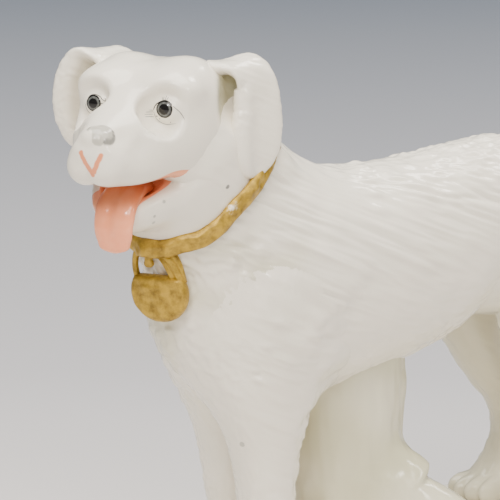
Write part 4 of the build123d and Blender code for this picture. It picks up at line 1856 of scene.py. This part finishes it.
@dataclass
class Padlock:
    """The round padlock on the breast, its shackle and the strap's small end tab."""

    origin: tuple = (-72.95, -2.0, 89.9)
    facing: tuple = (-0.9306, -0.3387, -0.1392)
    side: tuple = (0.342, -0.940, 0.0)
    radius: float = 7.8
    flat: float = 4.4
    thickness: float = 3.6
    bow: tuple = (
        (0.0, -6.1, 3.0, 0.75, 0.9),
        (0.18, -6.5, 7.0, 0.75, 0.9),
        (0.33, -5.6, 10.2, 0.9, 1.0),
        (0.46, -3.2, 12.0, 1.3, 1.2),
        (0.58, -0.2, 12.0, 1.9, 1.4),
        (0.7, 2.2, 10.2, 2.3, 1.5),
        (0.84, 4.2, 7.0, 2.5, 1.5),
        (1.0, 5.4, 2.6, 2.2, 1.0),
    )
    edge: float = 1.3
    columns: int = 160

    def out(self, local: Array) -> Array:
        """From the lock's (side, up, facing) to the figure's frame.

        Args:
            local: Places in the lock's own directions.

        Returns:
            The places in the figure's frame.
        """
        facing = unit(self.facing)
        side = np.asarray(self.side, float)
        side = unit(side - facing * (side @ facing))
        up = np.cross(facing, side)
        return np.asarray(local, float) @ np.stack([side, up, facing]) + np.asarray(self.origin)

    def body(self) -> Skin:
        """Turns a rounded edge profile about the lock's middle, with the top cut straight.

        The outline's radius is the lesser of the disc's and flat / sin(turn), rounded where they meet, and
        each ring is a share of it.

        Returns:
            The skin, with its face domed and dented.
        """
        turn = np.arange(self.columns) * TURN / self.columns
        top = self.flat / np.maximum(np.sin(turn), 1e-3)
        top = np.where(np.sin(turn) > 0, top, 99.0)
        outline = -np.logaddexp(-self.radius * 3.0, -top * 3.0) / 3.0
        arc = np.linspace(-math.pi / 2, math.pi / 2, 15)
        inner = self.radius - self.edge
        shares = np.concatenate(
            [
                np.linspace(0.06, 1, 10)[:-1] * inner,
                inner + self.edge * np.cos(arc),
                np.linspace(1, 0.04, 22)[1:] * inner,
            ]
        )
        over = self.edge + self.edge * np.sin(arc)
        rises = np.concatenate([np.zeros(9), over, np.full(21, 2 * self.edge)])
        heights = rises * self.thickness / (2 * self.edge)
        radius = shares[:, None] * outline[None] / self.radius
        flat = np.stack([radius * np.cos(turn), radius * np.sin(turn), heights[:, None] + 0 * radius], -1)
        dome = 0.5 * (1 - (shares / self.radius) ** 2)[:, None]
        dents = 0.35 * GRIT(flat / 3.1) + 0.2 * FUR(flat / 1.4)
        flat[..., 2] += np.where(heights[:, None] > self.thickness * 0.6, dome + dents, 0)
        return weave(self.out(flat))

    def shackle(self) -> Skin:
        """Carries a flat oval up the thin arm, over the crown and down the broad one, which is pleated.

        Returns:
            The skin.
        """
        at = np.linspace(0, 1, 170)
        table = along(self.bow, at)
        line = np.stack([table[:, 0], table[:, 1], np.full_like(at, self.thickness * 0.45)], -1)
        tangent = unit(np.gradient(line, axis=0))
        sides = np.cross(tangent, np.array([0, 0, 1.0]))
        rows = carry(line, sides, table[:, 2:], 64, 2.4)
        span = np.einsum("uvk,uk->uv", rows - line[:, None], sides)
        pleat = 0.3 * np.cos(span * 3.4 + at[:, None] * 9.0) * smooth(at, 0.42, 0.62)[:, None]
        return weave(self.out(rows + np.array([0, 0, 1.0]) * pleat[..., None]))

    def tab(self) -> Skin:
        """Carries a small flat tapering tongue of strap down inside the shackle.

        Returns:
            The skin.
        """
        at = np.linspace(0, 1, 40)
        line = np.stack([-2.6 + 0.3 * at, self.flat + 7.4 - 5.4 * at, np.full_like(at, 2.2)], -1)
        half = np.stack([1.5 - 0.5 * at + 0.25 * np.sin(at * 9), np.full_like(at, 0.8)], -1)
        half = half * np.sqrt(np.clip(1 - np.clip((at - 0.85) / 0.16, 0, 1) ** 2, 0.02, 1))[:, None]
        return weave(self.out(carry(line, np.tile([1.0, 0, 0], (40, 1)), half, 32, 2.6)))

    def dress(self, shop: Workshop) -> None:
        """Puts the lock, its shackle and the tab into the scene.

        Args:
            shop: The workshop that makes the pieces.
        """
        for name, skin, node in (
            ("round_padlock", self.body(), "padlock_body"),
            ("lock_shackle", self.shackle(), "padlock_shackle"),
            ("strap_tab", self.tab(), "collar_tab"),
        ):
            shop.piece(name, skin, Finish.GILDING, (node,))


# Mound and stump


@dataclass
class Mound:
    """The low mound that the dog stands on."""

    length: float = 157.3
    width: float = 68.0
    height: float = 12.0
    corner: float = 27.0
    turns: int = 260

    def outline(self, points: Array) -> Array:
        """Field of the rounded rectangle that the mound is seen as from above."""
        inner = np.array([self.length / 2 - self.corner, self.width / 2 - self.corner])
        return np.linalg.norm(np.maximum(np.abs(points[..., :2]) - inner, 0), axis=-1) - self.corner

    def build(self) -> Skin:
        """Carries an edge profile round the outline: up the wall, over the edge and in across the top.

        The outline's radius at a turn comes from casting a ray on to the rounded rectangle.

        Returns:
            The skin, uneven on its top and its wall.
        """
        rays = rank(np.zeros((1, 3)), (0, 0, 1), (1, 0, 0), self.turns)
        rim = rays.cast(self.outline, 90.0)[0]
        arc = np.linspace(0, math.pi / 2, 12)
        top = np.linspace(0.91, 0.02, 40)[1:]
        shares = np.concatenate([[0.5, 0.97, 1.0, 1.0], 1 - 0.09 * (1 - np.cos(arc)), top])
        over = self.height * (0.5 + 0.5 * np.sin(arc))
        wall_rises = [0, 0, 0.8, self.height * 0.45]
        heights = np.concatenate([wall_rises, over, np.full(len(top), self.height)])
        rows = rim[None] * shares[:, None, None]
        rows[..., 2] = heights[:, None]
        bumps = 0.7 * GRIT(rows / 9.0) + 0.35 * FUR(rows / 3.6)
        rows[..., 2] += np.where(heights[:, None] > self.height * 0.5, bumps - 0.2, 0)
        wall = (heights > 0.5) & (heights < self.height * 0.98)
        rows[..., :2] *= 1 + np.where(wall[:, None], 0.012 * DRIFT(rows / 7.0), 0)[..., None]
        return weave(rows)

    def dress(self, shop: Workshop) -> None:
        """Puts the mound into the scene."""
        shop.piece("ground_mound", self.build(), Finish.GLAZE, ("mound_base",))


@dataclass
class Stump:
    """The tree stump under the belly, with a broken branch that slopes down and a root below it."""

    trunk: Loft = Loft(
        (-7, 0, 12.0),
        (0, 0, 1),
        (1, 0, 0),
        (
            (0, 3.5, 16.0, 24.0, 22.0),
            (2.9, 3.0, 14.5, 21.5, 20.5),
            (9.4, 2.0, 13.0, 18.0, 18.5),
            (21.75, 0.6, 12.2, 16.0, 17.2),
            (31, 0, 12.2, 16.4, 17.0),
            (44, -0.3, 12.4, 17.6, 17.0),
            (61.6, -0.5, 12.0, 16.4, 16.6),
        ),
        (0.0, 0.0),
        2.3,
    )
    branch: Loft = Loft(
        (-7, 0, 43.7),
        (0.559, -0.559, -0.612),
        (0, 0, 1),
        ((0, 0, 6.6, 6.6, 6.6), (14, 0, 6.3, 6.3, 6.3), (24.6, 0, 6.0, 6.0, 6.0)),
        (0.0, 1.8),
        2.3,
    )
    root: Loft = Loft(
        (-7, 0, 32.0),
        (0.624, -0.624, -0.469),
        (0, 0, 1),
        ((0, 0, 9.8, 9.8, 9.8), (20, 0, 9.0, 9.0, 9.0), (38, 0, 7.6, 7.6, 7.6)),
        (0.0, 5.0),
        2.2,
    )
    reach: float = 46.0
    columns: int = 320

    def form(self, points: Array) -> Array:
        """Trunk, broken branch and root, melted over 2.5 and 5 mm."""
        return melt(melt(self.trunk(points), self.root(points), 5.0), self.branch(points), 2.5)

    def build(self) -> Skin:
        """Casts ranks up the trunk, out to the branch and the root, and lays soft bark folds on them.

        Returns:
            The skin, with painted grey-green shade all over it, tinted like pooled glaze.
        """
        rows = np.linspace(-0.3, 61, 110)
        middle = along(self.trunk.stations, np.clip(rows, 0, None))[:, 0]
        at, _, ground = self.trunk.origin
        starts = np.stack([middle + at, 0 * rows, rows + ground], -1)
        grid = rank(starts, (0, 0, 1), (1, 0, 0), self.columns).cast(self.form, self.reach)
        folds = 0.9 * FUR(grid * np.array([0.11, 0.11, 0.05]))
        drifts = 0.5 * DRIFT(grid * np.array([0.1, 0.1, 0.2]))
        bark = folds + drifts + 0.35 * GRIT(grid * np.array([0.35, 0.35, 0.14]))
        skin = weave(grid + slope_of(self.form, grid) * bark[..., None])
        # Painted shade all over the stump, grey green like pooled glaze.
        skin.paint["pool"] = 0.6 + 0.4 * smooth(DRIFT(skin.points / 16.0), -0.4, 0.5)
        return skin

    def dress(self, shop: Workshop) -> None:
        """Puts the stump into the scene."""
        shop.piece("tree_support", self.build(), Finish.GLAZE, ("tree_stump",))


# Studio


@dataclass
class Studio:
    """A pale sweep of paper, soft lamps and the camera at the photograph's angle."""

    azimuth: float = 225.0
    elevation: float = 12.0
    distance: float = 1500.0
    target: tuple = (-9.0, 0.0, 80.0)
    pixel_mm: float = 1 / 3.9
    target_pixel: tuple = (340.0, 290.0)
    image: float = 500.0
    sensor: float = 36.0
    # The paper's painted light falloff runs along this direction, by these tones, from pale near to grey
    # blue far.
    away: tuple = (0.7071, 0.7071, 0.0)
    tones: tuple = ((0.0, "#CFCBC8"), (0.25, "#A6A5A8"), (1.0, "#646C78"))
    span: float = 6.0
    air: str = "#DCDDDA"
    air_strength: float = 0.42
    lamps: tuple = (
        ("key_lamp", (-1.1, -0.9, 1.5), (0, 0, 0.08), 1.1, 40.0, "#FFF6EC"),
        ("top_lamp", (0.1, 0.0, 1.8), (0, 0, 0.08), 1.6, 58.0, "#FFFCF8"),
        ("glint_lamp", (-1.2, -0.5, 1.0), (0, 0, 0.1), 0.12, 4.5, "#FFFFFF"),
        ("back_glint_lamp", (0.9, -0.05, 1.05), (0, 0, 0.1), 0.35, 7.0, "#FFF8F0"),
        ("side_glint_lamp", (0.15, -1.2, 0.8), (0, 0, 0.1), 0.2, 3.4, "#FFF8F0"),
    )

    def paper_finish(self) -> bpy.types.Material:
        """Builds the matt paper with a painted light falloff: its grey deepens over a metre away from the
        camera.

        Returns:
            The material.
        """
        work = Brushwork("matt_paper_painted_falloff")
        inputs = {0: work.place, 1: self.away}
        away = add_node(work.tree, "ShaderNodeVectorMath", {"operation": "DOT_PRODUCT"}, inputs)
        share = work.ranged(away.outputs["Value"], (0.0, 1.0))
        return work.done(
            {
                "Base Color": work.ramp(share, self.tones),
                "Roughness": 0.9,
                "Normal": work.bump(work.noise(1.5, 2.0), 0.03, 0.2),
            }
        )

    def paper(self) -> None:
        """Lays the sweep: a wide flat sheet of the paper."""
        mesh = bpy.data.meshes.new("paper_sweep")
        corners = [(x * self.span, y * self.span, 0) for x, y in ((-1, -1), (1, -1), (1, 1), (-1, 1))]
        mesh.from_pydata(corners, [], [(0, 1, 2, 3)])
        mesh.materials.append(self.paper_finish())
        sweep = bpy.data.objects.new("paper_sweep", mesh)
        bpy.context.scene.collection.objects.link(sweep)

    def lamp(self, name: str, place: tuple, aim: tuple, size: float, power: float, colour: str) -> None:
        """Hangs one square soft lamp.

        Args:
            name: The lamp's name.
            place: Where it hangs, in metres.
            aim: What it points at, in metres.
            size: Its edge in metres.
            power: Its power in watts.
            colour: Its colour as a hex value.
        """
        light = bpy.data.lights.new(name, "AREA")
        light.size = size
        light.energy = power
        light.color = linear(colour)[:3]
        made = bpy.data.objects.new(name, light)
        bpy.context.scene.collection.objects.link(made)
        way = unit(np.asarray(place, float) - np.asarray(aim, float))
        self.point(made, np.asarray(place, float), way)

    def point(self, made: bpy.types.Object, place: Array, back: Array) -> None:
        """Sets an object at a place with its own +Z along back and its +X level.

        Args:
            made: The lamp or the camera.
            place: Where it goes, in metres.
            back: The direction away from what it points at.
        """
        rows = np.eye(4)
        rows[:3, :] = np.column_stack([*level(back), back, place])
        made.matrix_world = Matrix(rows.tolist())

    def camera(self) -> None:
        """Sets the long lens so that the target falls on its pixel of the photograph."""
        azimuth, elevation = math.radians(self.azimuth), math.radians(self.elevation)
        back = np.array(
            [
                math.cos(azimuth) * math.cos(elevation),
                math.sin(azimuth) * math.cos(elevation),
                math.sin(elevation),
            ]
        )
        across, over = level(back)
        place = (np.asarray(self.target) + back * self.distance) * MM
        offset = (np.asarray(self.target_pixel) - self.image / 2) * self.pixel_mm
        aim = (np.asarray(self.target) - across * offset[0] + over * offset[1]) * MM
        lens = bpy.data.cameras.new("long_lens")
        lens.sensor_width = self.sensor
        lens.lens = self.sensor * self.distance / (self.image * self.pixel_mm)
        lens.clip_start, lens.clip_end = 0.05, 60.0
        made = bpy.data.objects.new("long_lens", lens)
        bpy.context.scene.collection.objects.link(made)
        self.point(made, place, unit(place - aim))
        bpy.context.scene.camera = made

    def dress(self) -> None:
        """Lays the paper, hangs the lamps and sets the camera."""
        self.paper()
        self.camera()
        for lamp in self.lamps:
            self.lamp(*lamp)
        world = bpy.data.worlds.new("studio_air")
        world.use_nodes = True
        air = {"Color": linear(self.air), "Strength": self.air_strength}
        connect(world.node_tree, world.node_tree.nodes["Background"], air)
        bpy.context.scene.world = world


def main() -> None:
    """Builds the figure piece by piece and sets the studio."""
    logging.basicConfig(level=logging.INFO, format="%(message)s")
    shop = Workshop()
    body, head = Body(), Head()
    Mound().dress(shop)
    Stump().dress(shop)
    body.dress(shop)
    fore = {"stations": FORELEG, "toe": (-13.0, 3.9, 5.0), "crown": 54.0, "reach": 12.0}
    # The hind legs take painted shade low down.
    hind = {"stations": HIND_LEG, "toe": (-6.0, 3.7, 5.0), "crown": 66.0, "pool": 0.55}
    for leg in (
        Leg("left_fore_leg", "left_foreleg", (-43, -9.5, 12.0), **fore),
        Leg("right_fore_leg", "right_foreleg", (-36.5, 9.5, 12.0), **fore),
        Leg("left_back_leg", "left_hind_leg", (60, -12.5, 12.0), **hind),
        Leg("right_back_leg", "right_hind_leg", (60, 12.5, 12.0), **hind),
    ):
        leg.dress(shop, body)
    Tail().dress(shop, body)
    head.dress(shop, body)
    Jaw().dress(shop, head, body)
    Tongue().dress(shop)
    Ear("left_ear_flap", "left_ear", LEFT_EAR, -19.0, 1.0).dress(shop, head)
    Ear("right_ear_flap", "right_ear", RIGHT_EAR, 29.0, -1.0).dress(shop, head)
    Eye("left_eye_enamel", (13.4, 9.7, 1.3), 2.15, 0.62, LEFT_STROKES).dress(shop, head)
    Eye("right_eye_enamel", (13.4, -9.7, 1.3), 2.05, 0.6, RIGHT_STROKES).dress(shop, head)
    Collar().dress(shop, body, head)
    Padlock().dress(shop)
    Studio().dress()


if __name__ == "__main__":
    main()
